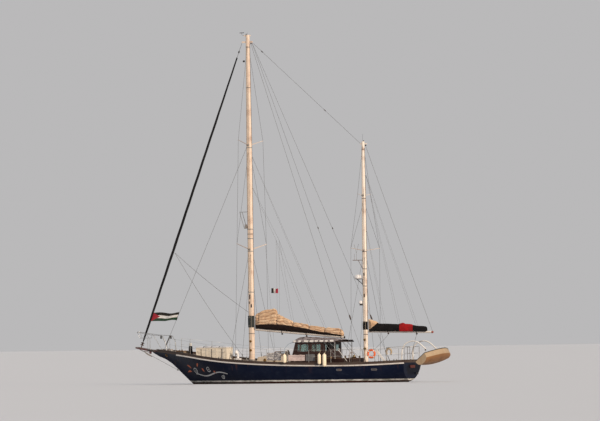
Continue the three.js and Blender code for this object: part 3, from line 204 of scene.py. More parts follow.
def group_of(name, inputs, outputs):
    """An empty shader node group. A colour's default is a tuple and a number's is a float."""
    tree = bpy.data.node_groups.new(name, "ShaderNodeTree")
    for label, value in inputs.items():
        kind = "NodeSocketColor" if isinstance(value, tuple) else "NodeSocketFloat"
        tree.interface.new_socket(label, in_out="INPUT", socket_type=kind).default_value = value
    for label in outputs:
        kind = "NodeSocketColor" if label == "Colour" else "NodeSocketFloat"
        tree.interface.new_socket(label, in_out="OUTPUT", socket_type=kind)
    return tree, tree.nodes.new("NodeGroupInput").outputs, tree.nodes.new("NodeGroupOutput").inputs


def make_weathering():
    """Sun-faded patches, vertical dirt runs and fine grain on any painted or bare surface."""
    tree, given, out = group_of("weathering", {
        "Colour": (0.5, 0.5, 0.5, 1), "Dirt Colour": (0.1, 0.07, 0.05, 1), "Dirt": 0.3, "Runs": 0.3,
        "Roughness": 0.5,
    }, ("Colour", "Roughness", "Height"))
    patches = noise_of(tree, 1.7, 5.0)
    grain = noise_of(tree, 34.0, 4.0)
    runs = ramp_of(noise_of(tree, 1.0, 5.0, (9, 9, 0.8)), 0.56, 0.78)
    dirt = times(ramp_of(patches, 0.42, 0.72), given["Dirt"])
    dirt = sum_of("ADD", dirt, times(runs, given["Runs"]), True)
    lighter = sum_of("ADD", times(grain, 0.5), 0.95)
    faded = put(tree, "ShaderNodeVectorMath", operation="SCALE", Vector=given["Colour"], Scale=lighter)
    tone = blend_of(ramp_of(patches, 0.3, 0.7), given["Colour"], faded.outputs["Vector"])
    feed(out["Colour"], blend_of(dirt, tone, given["Dirt Colour"]))
    rough = sum_of("ADD", given["Roughness"], times(dirt, 0.3))
    feed(out["Roughness"], sum_of("ADD", rough, times(grain, 0.08), True))
    feed(out["Height"], sum_of("ADD", grain, times(patches, 2.0)))
    return tree


weathering = make_weathering()


def new_material(name, slot=None, metallic=0.0, coat=0.0, sheen=0.0):
    material = bpy.data.materials.new(name)
    material.use_nodes = True
    shader = material.node_tree.nodes["Principled BSDF"]
    for label, value in (("Metallic", metallic), ("Coat Weight", coat), ("Sheen Weight", sheen)):
        shader.inputs[label].default_value = value
    if slot:
        material["slot"] = slot
    return material, material.node_tree, shader


def surface(shader, group, bump, strength, **values):
    """Puts a surface group before the shader. The values are its inputs; one left out keeps its default."""
    tree = shader.id_data
    node = put(tree, "ShaderNodeGroup", node_tree=group, **values)
    relief = put(tree, "ShaderNodeBump", Distance=bump, Strength=strength, Height=node.outputs["Height"])
    for label, value in (("Base Color", node.outputs["Colour"]), ("Roughness", node.outputs["Roughness"])):
        feed(shader.inputs[label], value)
    feed(shader.inputs["Normal"], relief.outputs["Normal"])
    return node


def weather(shader, colour, dirt_colour, dirt, runs, rough, bump=0.002):
    surface(
        shader, weathering, bump, 0.6, Colour=colour, Dirt_Colour=dirt_colour, Dirt=dirt, Runs=runs,
        Roughness=rough,
    )


def painted(
    name, colour, rough=0.45, dirt=0.25, runs=0.2, dirt_colour=DIRT, metallic=0.0, coat=0.0, slot=None,
):
    material, _, shader = new_material(name, slot, metallic, coat)
    weather(shader, colour, dirt_colour, dirt, runs, rough)
    return material


def make_topside_paint():
    material, tree, shader = new_material("topside_enamel", "navy_paint")
    shader.inputs["Specular IOR Level"].default_value = 0.08
    level = sum_of("ADD", axes_of(place_of(tree))["Z"], times(noise_of(tree, 6.0), 0.02))
    runs = ramp_of(noise_of(tree, 1.0, 6.0, (5, 5, 0.35)), 0.58, 0.8)
    rusty = times(times(runs, ramp_of(level, 0.2, 1.7)), 0.38)
    salt = times(ramp_of(noise_of(tree, 2.6, 6.0, (1, 1, 2.5)), 0.5, 0.8), 0.06)
    navy = blend_of(salt, blend_of(rusty, NAVY, RUST), (0.1, 0.12, 0.16))
    slime = ramp_of(noise_of(tree, 3.0, 6.0, (1, 1, 3)), 0.35, 0.65)
    stripe = blend_of(times(slime, 0.75), BOOT_TOP, (0.07, 0.075, 0.05))
    low = blend_of(ramp_of(noise_of(tree, 5.0, 6.0), 0.45, 0.7), ANTIFOULING, (0.03, 0.035, 0.025))
    on_stripe = ramp_of(level, BOOT_TOP_LOW + 0.005, BOOT_TOP_LOW + 0.012)
    above = ramp_of(level, BOOT_TOP_HIGH + 0.005, BOOT_TOP_HIGH + 0.012)
    colour = blend_of(above, blend_of(on_stripe, low, stripe), navy)
    weather(shader, colour, (0.02, 0.024, 0.03), 0.12, 0.08, 0.32, 0.003)
    return material


def add_bevel(piece, width, angle):
    edge = piece.modifiers.new("bevel", "BEVEL")
    edge.width = width
    edge.segments = 2
    edge.limit_method = "ANGLE"
    edge.angle_limit = radians(angle)


def smooth_node(name, material, crisp=32):
    """A CAD node that keeps its shape: smooth shading up to the crisp angle, and a finish."""
    node = nodes[name]
    mesh = node.data
    mesh.materials.clear()
    mesh.materials.append(material)
    mesh.polygons.foreach_set("material_index", [0] * len(mesh.polygons))
    mesh.polygons.foreach_set("use_smooth", [True] * len(mesh.polygons))
    if "custom_normal" in mesh.attributes:
        mesh.attributes.remove(mesh.attributes["custom_normal"])
    node.modifiers.new("weld", "WELD").merge_threshold = 0.0001
    node.modifiers.new("split", "EDGE_SPLIT").split_angle = radians(crisp)


antifouling = painted("antifouling", ANTIFOULING, 0.85, 0.5, 0.25, (0.035, 0.045, 0.03), slot="antifouling")
smooth_node("hull", make_topside_paint(), 28)


def surface_of(name):
    """A CAD node's surface, for placing things on it."""
    mesh = nodes[name].data
    return BVHTree.FromPolygons(
        [v.co.copy() for v in mesh.vertices], [tuple(p.vertices) for p in mesh.polygons],
    )


hull_surface = surface_of("hull")


def on_hull(x, z, side, proud):
    """The point of the hull's side at x and z, lifted off the plate."""
    hit, normal, _, _ = hull_surface.ray_cast(Vector((x, side * 6, z)), Vector((0, -side, 0)))
    return hit + normal * proud


def between(x, places, values):
    return float(np.interp(x, places, values))


def around(sides):
    """Equal steps round a full turn."""
    return [2 * pi * k / sides for k in range(sides)]


def make(name, shapes, material, body=ROOT, crisp=40, bevel=0.0, replaces=(), loose=False):
    """One piece from several shapes, with its finish, bevelled edges and the body it rides on."""
    verts, faces = [], []
    for more_verts, more_faces in shapes:
        start = len(verts)
        verts += [tuple(v) for v in more_verts]
        faces += [tuple(start + i for i in face) for face in more_faces]
    mesh = bpy.data.meshes.new(name)
    mesh.from_pydata(verts, [], faces)
    mesh.update()
    mesh.materials.append(material)
    mesh.polygons.foreach_set("use_smooth", [True] * len(mesh.polygons))
    mesh.set_sharp_from_angle(angle=radians(crisp))
    piece = add_object(name, mesh)
    if bevel:
        add_bevel(piece, bevel, 50)
    if not loose:
        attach(piece, body)
    if replaces:
        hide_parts(*replaces)
    return piece


# The scroll on each bow: a long stem with three volutes and five leaves, in grey-white and orange-red sign
# paint. It is brushed on, so each stroke is a thin ribbon that follows the plating.
SIDES = (("port", 1), ("starboard", -1))


def ribbon(points, widths, side):
    """A brush stroke along points in the x-z plane, laid on the hull."""
    verts = []
    for i, (x, z) in enumerate(points):
        before, after = points[max(i - 1, 0)], points[min(i + 1, len(points) - 1)]
        way = Vector((after[0] - before[0], after[1] - before[1])).normalized() * widths[i] / 2
        verts += [on_hull(x - way.y, z + way.x, side, 0.0025), on_hull(x + way.y, z - way.x, side, 0.0025)]
    faces = []
    for a in range(0, len(verts) - 2, 2):
        faces.append((a, a + 1, a + 3, a + 2) if side < 0 else (a, a + 2, a + 3, a + 1))
    return verts, faces


def volute(x, z, start, turns, radius):
    """A spiral that closes on its centre."""
    points = []
    for i in range(27):
        angle = start + turns * 2 * pi * i / 26
        r = radius * (1 - i / 26) ** 0.8 + 0.012
        points.append((x + r * cos(angle), z + r * sin(angle)))
    return points, [0.05 * (1 - 0.5 * i / 26) for i in range(27)]


VOLUTES = [(5.62, 0.83, -1.6, -1.5, 0.2), (4.3, 0.93, 3.6, 1.4, 0.17), (3.2, 0.44, 2.2, 1.5, 0.13)]
LEAVES = [
    (5.95, 0.98, 0.5, 0.4), (6.02, 0.78, -0.1, 0.42), (5.3, 1.07, 2.4, 0.3), (4.75, 0.76, 0.9, 0.26),
    (3.75, 0.63, 0.8, 0.22),
]
stem = [(2.75 + 2.9 * i / 30, 0.62 + 0.11 * sin(i / 30 * 2.2 * pi)) for i in range(31)]
grey_strokes = [(stem, [0.05 + 0.03 * sin(pi * i / 30) for i in range(31)])]
grey_strokes += [volute(*numbers) for numbers in VOLUTES]
orange_strokes = []
for x, z, lean, long in LEAVES:
    leaf = []
    for i in range(13):
        out = long * i / 12
        leaf.append((x + out * cos(lean), z + out * sin(lean) + 0.05 * sin(pi * i / 12)))
    orange_strokes.append((leaf, [0.004 + 0.11 * sin(pi * (i / 12) ** 0.8) for i in range(13)]))
scroll_grey = painted("scroll_grey", (0.4, 0.41, 0.43), 0.5, 0.35, 0.3)
scroll_orange = painted("scroll_orange", (0.42, 0.085, 0.03), 0.5, 0.35, 0.3)
for tag, side in SIDES:
    for name, strokes, paint in (
        ("", grey_strokes, scroll_grey), ("_leaves", orange_strokes, scroll_orange),
    ):
        make(f"bow_scroll{name}_{tag}", [ribbon(*stroke, side) for stroke in strokes], paint, crisp=180)


# Keel, rudder, propeller. A long ballast keel carries the rudder on a heel bearing, with the cast bronze
# three-bladed propeller in the aperture between them. Zinc anodes and bronze straps are bolted on.
def skin(rows, closed=False, ends=False):
    """A surface through rows of points. A closed one joins each row's ends, and may be shut at both ends."""
    wide = len(rows[0])
    faces = []
    for r in range(len(rows) - 1):
        for i in range(wide if closed else wide - 1):
            a, b = r * wide + i, r * wide + (i + 1) % wide
            faces.append((a, b, b + wide, a + wide))
    if ends:
        faces.append(tuple(reversed(range(wide))))
        faces.append(tuple(range((len(rows) - 1) * wide, len(rows) * wide)))
    return [p for row in rows for p in row], faces


def circle(middle, first, second, radius, sides):
    """Points round a middle, in the plane of two directions."""
    return [middle + (first * cos(a) + second * sin(a)) * radius for a in around(sides)]


def tube(points, radius, sides=10):
    """A round tube along points. The radius is a number, or one number for each point."""
    points = [Vector(p) for p in points]
    count = len(points)
    radii = radius if isinstance(radius, list) else [radius] * count
    ways = [(points[min(i + 1, count - 1)] - points[max(i - 1, 0)]).normalized() for i in range(count)]
    across = ways[0].orthogonal().normalized()
    rows = []
    for point, way, r in zip(points, ways, radii):
        across = (across - way * across.dot(way)).normalized()
        rows.append(circle(point, across, way.cross(across), r, sides))
    return skin(rows, True, True)


def ring_tube(points, radius, sides=10):
    """A round tube along a closed loop of points that lies in one plane."""
    points = [Vector(p) for p in points]
    middle = sum(points, Vector()) / len(points)
    normal = (points[0] - middle).cross(points[1] - middle).normalized()
    rows = []
    for i, point in enumerate(points):
        way = (points[(i + 1) % len(points)] - points[i - 1]).normalized()
        rows.append(circle(point, way.cross(normal), normal, radius, sides))
    return skin(rows + rows[:1], True)


def turned(outline, foot, sides=24, way=(0, 0, 1)):
    """A body turned about a line from foot, from pairs of radius and height along it."""
    turn = Vector((0, 0, 1)).rotation_difference(Vector(way)).to_matrix()
    rows = []
    for r, z in outline:
        middle = Vector(foot) + turn @ Vector((0, 0, z))
        rows.append(circle(middle, turn.col[0].copy(), turn.col[1].copy(), max(r, 0.0004), sides))
    return skin(rows, True, True)


def slab(low, high, turn=None, about=None):
    """A box between two corners, turned about a point if one is given."""
    corners = [
        Vector((x, y, z)) for z in (low[2], high[2]) for y in (low[1], high[1]) for x in (low[0], high[0])
    ]
    if turn:
        middle = Vector(about) if about else (Vector(low) + Vector(high)) / 2
        corners = [middle + turn @ (c - middle) for c in corners]
    return corners, [(0, 2, 3, 1), (4, 5, 7, 6), (0, 1, 5, 4), (2, 6, 7, 3), (0, 4, 6, 2), (1, 3, 7, 5)]


def eased(points, reach=0.06, steps=5):
    """The points with each corner rounded off."""
    points = [Vector(p) for p in points]
    out = [points[0]]
    for before, corner, after in zip(points, points[1:], points[2:]):
        a = corner + (before - corner).normalized() * min(reach, (before - corner).length / 2.2)
        b = corner + (after - corner).normalized() * min(reach, (after - corner).length / 2.2)
        for k in range(steps + 1):
            t = k / steps
            out.append(a * (1 - t) ** 2 + corner * 2 * t * (1 - t) + b * t * t)
    return out + [points[-1]]


def mirror(shape):
    verts, faces = shape
    return [(v[0], -v[1], v[2]) for v in verts], [tuple(reversed(f)) for f in faces]


def both(*shapes):
    return list(shapes) + [mirror(s) for s in shapes]


bronze = painted(
    "bronze", (0.3, 0.17, 0.06), 0.38, 0.45, 0.2, (0.06, 0.12, 0.08), metallic=1.0, slot="bronze",
)
stainless = painted(
    "stainless", (0.4, 0.4, 0.39), 0.3, 0.2, 0.15, (0.22, 0.12, 0.06), metallic=1.0, slot="stainless_steel",
)
galvanised = painted(
    "galvanised", (0.26, 0.26, 0.26), 0.6, 0.6, 0.5, (0.2, 0.075, 0.03), metallic=0.6,
    slot="galvanised_iron",
)
zinc = painted(
    "zinc", (0.45, 0.46, 0.48), 0.7, 0.4, 0.2, (0.2, 0.22, 0.2), metallic=0.7, slot="galvanised_iron",
)
smooth_node("keel", antifouling, 35)
smooth_node("rudder", antifouling, 35)
smooth_node("propeller_shaft", stainless, 40)
PROPELLER = Vector((-6.12, 0, -1.1))
PROPELLER_R = 0.288
PITCH = 0.42


def propeller_blade(start):
    rows = []
    for i in range(13):
        share = i / 12
        r = 0.045 + (PROPELLER_R - 0.045) * share
        lean = atan(PITCH / (2 * pi * r))
        chord = 0.085 + 0.13 * sin(pi * share ** 0.8) * (1 - 0.25 * share)
        chord *= 0.35 if i == 12 else 1
        thick = 0.018 * (1 - share) + 0.005
        row = []
        for a in around(16):
            along, off = chord / 2 * cos(a), thick / 2 * sin(a)
            x = along * sin(lean) + off * cos(lean)
            y = along * cos(lean) - off * sin(lean)
            swing = start + y / max(r, 0.06)
            row.append(PROPELLER + Vector((x, r * sin(swing), r * cos(swing))))
        rows.append(row)
    return skin(rows, True, True)


hub = turned([
    (0.02, -0.13), (0.045, -0.12), (0.05, -0.09), (0.048, 0.0), (0.06, 0.068), (0.055, 0.07),
], PROPELLER, 32, (1, 0, 0))
make(
    "propeller_blades", [hub] + [propeller_blade(i * 2 * pi / 3) for i in range(3)], bronze, "screw",
    replaces=["propeller"],
)
anodes = [turned(
    [(0.05, -0.012), (0.055, 0.0), (0.05, 0.02), (0.02, 0.03)], (x, 0.19, -1.15), 20, (0, 1, 0),
) for x in (-4.6, -3.2)]
make("keel_anodes", both(*anodes), zinc)
straps = [slab((-6.62, 0.024, z), (-6.36, 0.056, z + 0.07)) for z in (-0.95, -1.35, -1.85)]
make("rudder_straps", both(*straps), bronze, "rudder_blade", bevel=0.004)

# Topsides: the white rubbing strake, two oblong vents with slats to a side and a bronze hawse pipe at each
# bow, all bolted over the plating. The exhaust and a bare plate are on the transom.
strake_white = painted(
    "strake_white", (0.56, 0.53, 0.51), 0.5, 0.4, 0.35, (0.16, 0.1, 0.07), slot="white_paint",
)
iron_black = painted(
    "iron_black", (0.02, 0.02, 0.022), 0.6, 0.4, 0.2, (0.14, 0.06, 0.03), slot="galvanised_iron",
)
grey_paint = painted("grey_paint", (0.08, 0.085, 0.105), 0.5, 0.3, 0.3)
red_lead = painted("red_lead", (0.24, 0.05, 0.035), 0.6, 0.4, 0.3, slot="oxblood_paint")
for tag in ("port", "starboard"):
    smooth_node(f"rubbing_strake_{tag}", strake_white, 35)


def oblong(x, z, long, high, side, proud):
    """A rounded oblong that lies on the hull's side."""
    edge = []
    for a in around(32):
        end = (long - high) / 2 * (1 if cos(a) > 0 else -1)
        edge.append(on_hull(x + end + high / 2 * cos(a), z + high / 2 * sin(a), side, proud))
    inner = [on_hull(x + (p.x - x) * 0.98, z + (p.z - z) * 0.98, side, -0.01) for p in edge]
    return skin([inner, edge], True, True)


for tag, side in SIDES:
    vents = [(-5.09, 0.79), (-7.26, 0.787)]
    make(f"side_vents_{tag}", [oblong(x, z, 0.36, 0.13, side, 0.014) for x, z in vents], grey_paint)
    slats = [oblong(x, z + off, 0.26, 0.018, side, 0.02) for x, z in vents for off in (-0.035, 0.0, 0.035)]
    make(f"side_vent_slats_{tag}", slats, iron_black)
    lip = [on_hull(7.9 + 0.085 * cos(a), 1.8 + 0.06 * sin(a), side, 0.008) for a in around(24)]
    make(f"hawse_pipe_{tag}", [ring_tube(lip, 0.016)], bronze)
make("transom_plate", [slab((-9.075, -0.3, 0.86), (-9.02, 0.3, 1.02))], red_lead, bevel=0.004)
pipes = [
    tube([(-8.9, -0.62, 0.52), (end, -0.62, 0.5)], r, 20) for end, r in ((-9.12, 0.05), (-9.125, 0.042))
]
make("exhaust_pipe", pipes, stainless)

# Deck and bulwark. Narrow scrubbed planks run fore and aft with dark caulking. The low bulwark is darkened
# hardwood, dull with salt, with scuppers let in and mooring bitts bolted to the deck inside it.
def make_planks():
    """Straight boards along X with caulked seams and butts, each board its own tone."""
    tree, given, out = group_of("planks", {
        "Colour": (0.3, 0.2, 0.12, 1), "Seam Colour": (0.01, 0.01, 0.01, 1), "Board": 0.07, "Seam": 0.05,
        "Length": 2.4,
    }, ("Colour", "Seam"))
    boards = put(
        tree, "ShaderNodeTexBrick", Scale=1.0, Color1=(0.78, 0.78, 0.78), Color2=(1, 1, 1), Mortar=(0, 0, 0),
        Vector=place_of(tree), Row_Height=given["Board"], Brick_Width=given["Length"],
        Mortar_Size=times(given["Board"], given["Seam"]),
    )
    grain = times(ramp_of(noise_of(tree, 1.0, 6.0, (3, 60, 60)), 0.45, 0.75), 0.35)
    toned = blend_of(0.9, given["Colour"], boards.outputs["Color"], "MULTIPLY")
    veined = blend_of(grain, toned, (0.08, 0.05, 0.03))
    feed(out["Colour"], blend_of(boards.outputs["Fac"], veined, given["Seam Colour"]))
    feed(out["Seam"], boards.outputs["Fac"])
    return tree


planks = make_planks()


def planked(name, colour, seam, board, gap, rough, dirt=0.3, along=2.4, slot=None):
    material, tree, shader = new_material(name, slot)
    group = put(
        tree, "ShaderNodeGroup", node_tree=planks, Colour=colour, Seam_Colour=seam, Board=board, Seam=gap,
        Length=along,
    )
    weather(shader, group.outputs["Colour"], (0.06, 0.05, 0.04), dirt, 0.05, rough)
    return material


deck_planks = planked(
    "deck_planks", (0.27, 0.2, 0.14), (0.012, 0.012, 0.012), 0.075, 0.07, 0.75, slot="teak",
)
rail_wood = planked(
    "rail_wood", (0.045, 0.024, 0.018), (0.01, 0.008, 0.006), 0.5, 0.01, 0.55, 0.5, slot="teak",
)
smooth_node("deck", deck_planks, 30)
smooth_node("bulwark", rail_wood, 35)
deck_surface = surface_of("deck")
trunk_surface = surface_of("trunk_cabin")
hull_marks = sorted({round(v.co.x, 3) for v in nodes["bulwark"].data.vertices if v.co.x > -9.0})
rail_rows = []
for mark in hull_marks:
    near = [v.co for v in nodes["bulwark"].data.vertices if abs(v.co.x - mark) < 0.002 and v.co.y > 0]
    top = max(v.z for v in near)
    cap = [v.y for v in near if v.z > top - 0.002]
    if cap:
        rail_rows.append((mark, (min(cap) + max(cap)) / 2, top))
rail_x, rail_y, rail_z = (np.array(column) for column in zip(*rail_rows))


def on_rail(x, side=1, up=0.0, out=0.0):
    """A point over the middle of the bulwark's cap."""
    return Vector((x, side * (between(x, rail_x, rail_y) + out), between(x, rail_x, rail_z) + up))


def below(surface, x, y, up=0.0):
    """The point of a surface below x and y."""
    return surface.ray_cast(Vector((x, y, 4)), Vector((0, 0, -1)))[0] + Vector((0, 0, up))


scuppers, bitts = [], []
for x in (6.1, 4.9, 3.6, 0.4, -0.9, -2.6, -5.1, -6.6, -8.2):
    point = on_rail(x, 1, -0.125)
    scuppers.append(slab(point + Vector((-0.13, -0.03, -0.018)), point + Vector((0.13, 0.031, 0.018))))
for x, out in ((7.35, -0.2), (3.3, -0.14), (-3.9, -0.14), (-8.45, -0.2)):
    base = on_rail(x, 1, 0, out)
    foot = below(deck_surface, x, base.y)
    bitts.append(slab((x - 0.16, base.y - 0.05, foot.z - 0.01), (x + 0.16, base.y + 0.05, foot.z + 0.02)))
    bitts += [turned([
        (0.032, 0), (0.028, 0.08), (0.03, 0.16), (0.045, 0.17), (0.04, 0.19), (0.01, 0.195),
    ], (x + d, base.y, foot.z + 0.01), 16) for d in (-0.09, 0.09)]
    bitts.append(tube([(x - 0.16, base.y, foot.z + 0.12), (x + 0.16, base.y, foot.z + 0.12)], 0.014))
make("scuppers", both(*scuppers), iron_black, bevel=0.006)
make("mooring_bitts", both(*bitts), galvanised, bevel=0.003)

# Bow platform: hardwood planks painted oxblood, bolted over the stem. It has a galvanised plate on its nose,
# a tube along each edge and a horn cleat.
oxblood = planked(
    "oxblood_planks", (0.085, 0.018, 0.028), (0.012, 0.008, 0.008), 0.056, 0.07, 0.6, 0.45,
    slot="oxblood_paint",
)
smooth_node("bowsprit", oxblood, 35)


def platform_top(x):
    return between(x, [8.47, 9.0, 10.17], [2.105, 2.14, 2.335])


nose = [
    slab((10.135, -0.158, 2.245), (10.185, 0.158, 2.345)),
    slab((9.78, -0.03, platform_top(9.8) - 0.01), (9.93, 0.03, platform_top(9.9) + 0.02)),
]
edges = []
for y in (0.152, -0.152):
    edges.append(tube([
        (x, y * (1.15 if x < 9.1 else 1.0), platform_top(x) + 0.006)
        for x in (8.5, 8.75, 9.0, 9.4, 9.8, 10.15)
    ], 0.013, 8))
cleat = turned([(0.02, 0), (0.016, 0.05), (0.02, 0.06)], (8.75, -0.1, platform_top(8.75)), 12)
make("platform_fittings", nose + edges + [cleat, tube([
    (8.66, -0.1, platform_top(8.75) + 0.062), (8.84, -0.1, platform_top(8.75) + 0.062),
], 0.014)], galvanised, bevel=0.004)

# Pulpit: bent stainless tube, welded, on flanges, with an inner ring to lean against while working on the
# platform. A navigation lantern hangs inside each side.
PULPIT_RAIL = [
    (7.76, 0.62, 2.64), (7.98, 0.64, 3.02), (8.75, 0.5, 3.06), (9.6, 0.3, 3.19), (10.06, 0.16, 3.27),
    (10.15, 0, 3.285),
]
PULPIT_RING = [(9.16, 0.15, 2.89), (9.86, 0.11, 2.89), (9.93, 0, 2.89)]


def right_across(points):
    """The port side's points up to the middle line, and on to starboard."""
    return points + [(x, -y, z) for x, y, z in reversed(points[:-1])]


foot = on_rail(7.7, 1, -0.005)
stay_foot = on_rail(8.12, 1, -0.005)
legs = [
    tube([(8.7, 0.508, 3.054), tuple(stay_foot)], 0.014),
    tube([(9.83, 0.112, 2.886), (10.03, 0.172, 3.268)], 0.01),
    tube([(9.3, 0.142, 2.893), (9.3, 0.142, platform_top(9.3) - 0.005)], 0.014),
    tube([(9.22, 0.143, 2.887), (9.24, 0.38, 3.13)], 0.01),
    turned([(0.04, 0), (0.038, 0.01), (0.02, 0.014)], foot, 16),
    turned([(0.04, 0), (0.038, 0.01), (0.02, 0.014)], stay_foot, 16),
    turned([(0.035, 0), (0.033, 0.008), (0.018, 0.012)], (9.3, 0.142, platform_top(9.3)), 16),
]
tubes = [
    tube(eased(right_across([tuple(foot)] + PULPIT_RAIL), 0.12), 0.0165, 12),
    tube(eased(right_across(PULPIT_RING), 0.05), 0.012),
    tube([(9.19, -0.147, 2.888), (9.19, 0.147, 2.888)], 0.01),
]
make("pulpit_tubes", tubes + both(*legs), stainless, replaces=["pulpit"])
lamp_glass = painted("lamp_glass", (0.03, 0.035, 0.04), 0.15, 0.2, 0.1, coat=0.5, slot="glass")
for tag, side in SIDES:
    x, y = 8.08, side * 0.622
    shade = turned([(0.02, 0.0), (0.062, 0.012), (0.068, 0.03), (0.05, 0.045)], (x, y, 2.83))
    top = turned([(0.05, 0.0), (0.068, 0.012), (0.055, 0.035), (0.02, 0.05), (0.012, 0.06)], (x, y, 2.945))
    hook = tube([(x, y, 3.0), (x, side * 0.63, 3.03)], 0.008)
    lens = turned([(0.048, 0), (0.056, 0.02), (0.056, 0.055), (0.048, 0.075)], (x, y, 2.873))
    make(f"lantern_body_{tag}", [shade, top, hook], iron_black)
    make(f"lantern_lens_{tag}", [lens], lamp_glass)

# Ground tackle: a galvanised plough anchor under the platform, its chain led over it to the windlass gypsy.
# The windlass stands on a bedplate, and the bobstay runs from the platform's nose to the stem.
def link(at, way, side, long=0.062, wide=0.036, wire=0.0055):
    """A chain link: an oval ring of wire that lies along way, its flat side towards side."""
    way, side = Vector(way).normalized(), Vector(side)
    across = way.cross(side).normalized()
    oval = [Vector(at) + way * (long / 2 - wire) * cos(a) + across * (wide / 2) * sin(a) for a in around(14)]
    return ring_tube(oval, wire, 6)


def chain_along(points, pitch=0.052):
    points = [Vector(p) for p in points]
    links, turn = [], 0
    for a, b in zip(points, points[1:]):
        count = max(1, round((b - a).length / pitch))
        for k in range(count):
            up = Vector((0, 0, 1)) if abs((b - a).normalized().z) < 0.9 else Vector((1, 0, 0))
            other = up if turn % 2 else (b - a).normalized().cross(up)
            links.append(link(a.lerp(b, (k + 0.5) / count), b - a, other))
            turn += 1
    return links


ANCHOR_Y = 0.128
shank_rows = []
for x in (9.06, 9.3, 9.56):
    high = between(x, [9.0, 10.17], [2.025, 2.25]) - 0.032
    shank_rows.append([(x, ANCHOR_Y + y, z) for y, z in (
        (0.011, high - 0.046), (0.011, high), (-0.011, high), (-0.011, high - 0.046),
    )])
plough = []
for x, half, low, high in (
    (9.54, 0.01, 1.985, 2.06), (9.47, 0.055, 1.965, 2.02), (9.4, 0.085, 1.94, 1.985),
    (9.28, 0.1, 1.87, 1.925), (9.16, 0.09, 1.815, 1.855), (9.05, 0.042, 1.755, 1.778),
):
    wing = high - 0.085 * half / 0.1
    plough.append([(x, ANCHOR_Y + y, z) for y, z in (
        (half, wing), (half * 0.5, (wing + high) / 2 - 0.008), (0, high),
        (-half * 0.5, (wing + high) / 2 - 0.008), (-half, wing), (-half * 0.5, (wing + low) / 2 + 0.006),
        (0, low), (half * 0.5, (wing + low) / 2 + 0.006),
    )])
make("plough_anchor", [
    skin(shank_rows, True, True), skin(plough, True, True),
    tube([(9.53, ANCHOR_Y - 0.03, 2.02), (9.53, ANCHOR_Y + 0.03, 2.02)], 0.016),
], galvanised, crisp=50, bevel=0.003, replaces=["anchor"])
run = [
    (7.86, 0.142, 2.2), (8.2, 0.138, 2.19), (8.55, 0.13, platform_top(8.55) + 0.03),
    (8.94, ANCHOR_Y, platform_top(8.94) + 0.022),
]
make("anchor_chain", chain_along(run), galvanised)
make("chain_hole_plate", [slab(
    (8.88, ANCHOR_Y - 0.045, platform_top(8.95) - 0.004),
    (9.02, ANCHOR_Y + 0.045, platform_top(8.95) + 0.006),
)], galvanised, bevel=0.003)
bed_z = below(deck_surface, 7.62, 0).z
cheeks = [slab((7.66, y - 0.012, bed_z + 0.03), (7.88, y + 0.012, 2.17)) for y in (-0.098, 0.098)]
bed = slab((7.6, -0.14, bed_z - 0.03), (7.93, 0.14, bed_z + 0.035))
box_body = slab((7.68, -0.086, bed_z + 0.03), (7.84, 0.086, 2.1))
gypsy_outline = [
    (0.05, -0.024), (0.09, -0.022), (0.094, -0.014), (0.07, -0.004), (0.07, 0.004), (0.094, 0.014),
    (0.09, 0.022), (0.05, 0.024),
]
drum_outline = [
    (0.05, -0.05), (0.058, -0.045), (0.042, -0.02), (0.038, 0.0), (0.042, 0.02), (0.058, 0.045),
    (0.05, 0.05),
]
whitish = painted(
    "whitish_gear_paint", (0.55, 0.54, 0.52), 0.5, 0.5, 0.5, (0.22, 0.09, 0.04), slot="galvanised_iron",
)
make("windlass_frame", cheeks + [bed, box_body], whitish, bevel=0.008, replaces=["windlass"])
make("windlass_gear", [
    turned(gypsy_outline, (7.77, 0.142, 2.13), 32, (0, 1, 0)),
    turned(drum_outline, (7.77, 0.215, 2.13), 28, (0, 1, 0)),
    turned(drum_outline, (7.77, -0.18, 2.13), 28, (0, 1, 0)),
    tube([(7.77, -0.235, 2.13), (7.77, 0.27, 2.13)], 0.02, 14),
], galvanised)
eye = Vector((9.99, 0, 2.205))
heel = Vector((7.305, 0, 0.905))
along = (eye - heel).normalized()
bobstay_parts = [
    tube([heel, eye], 0.012, 8), tube([eye - along * 0.55, eye - along * 0.15], 0.022, 12),
    turned([(0.02, 0), (0.028, 0.02), (0.028, 0.05), (0.012, 0.07)], eye - along * 0.14, 16, along),
]
make(
    "bobstay_rod", bobstay_parts + [slab((7.14, -0.012, 0.85), (7.33, 0.012, 0.95))], stainless,
    replaces=["bobstay"],
)

# Capstan under a pleated canvas hood, with its white painted head standing out on top; and the fore hatch,
# a teak frame round a smoked pane.
def make_weave():
    """Plain woven cloth: threads both ways, faded patches, damp stains and painted shade along noise
    wrinkles.
    """
    tree, given, out = group_of("weave", {
        "Colour": (0.5, 0.5, 0.5, 1), "Stain Colour": (0.2, 0.15, 0.1, 1), "Threads": 260.0, "Stain": 0.3,
        "Roughness": 0.85,
    }, ("Colour", "Roughness", "Height"))
    threads = []
    for way in ("X", "Z"):
        wave = put(
            tree, "ShaderNodeTexWave", bands_direction=way, Distortion=1.2, Detail=1.0,
            Vector=place_of(tree), Scale=given["Threads"],
        )
        threads.append(wave.outputs["Fac"])
    cloth = times(times(*threads), 0.12)
    wrinkle = noise_of(tree, 5.0, 6.0, (1, 1, 3))
    stain = times(ramp_of(noise_of(tree, 1.9, 6.0), 0.45, 0.75), given["Stain"])
    # Painted shade: the cloth darkens towards the stain colour where the wrinkle noise runs deep.
    wrinkle_shade = times(ramp_of(wrinkle, 0.3, 0.75), 0.4)
    shade = blend_of(wrinkle_shade, given["Colour"], given["Stain Colour"])
    tone = blend_of(stain, shade, given["Stain Colour"])
    feed(out["Colour"], blend_of(cloth, tone, (1.0, 0.97, 0.92), "OVERLAY"))
    rough = sum_of("ADD", given["Roughness"], times(wrinkle, 0.1), True)
    feed(out["Roughness"], rough)
    feed(out["Height"], sum_of("ADD", cloth, wrinkle))
    return tree


weave = make_weave()


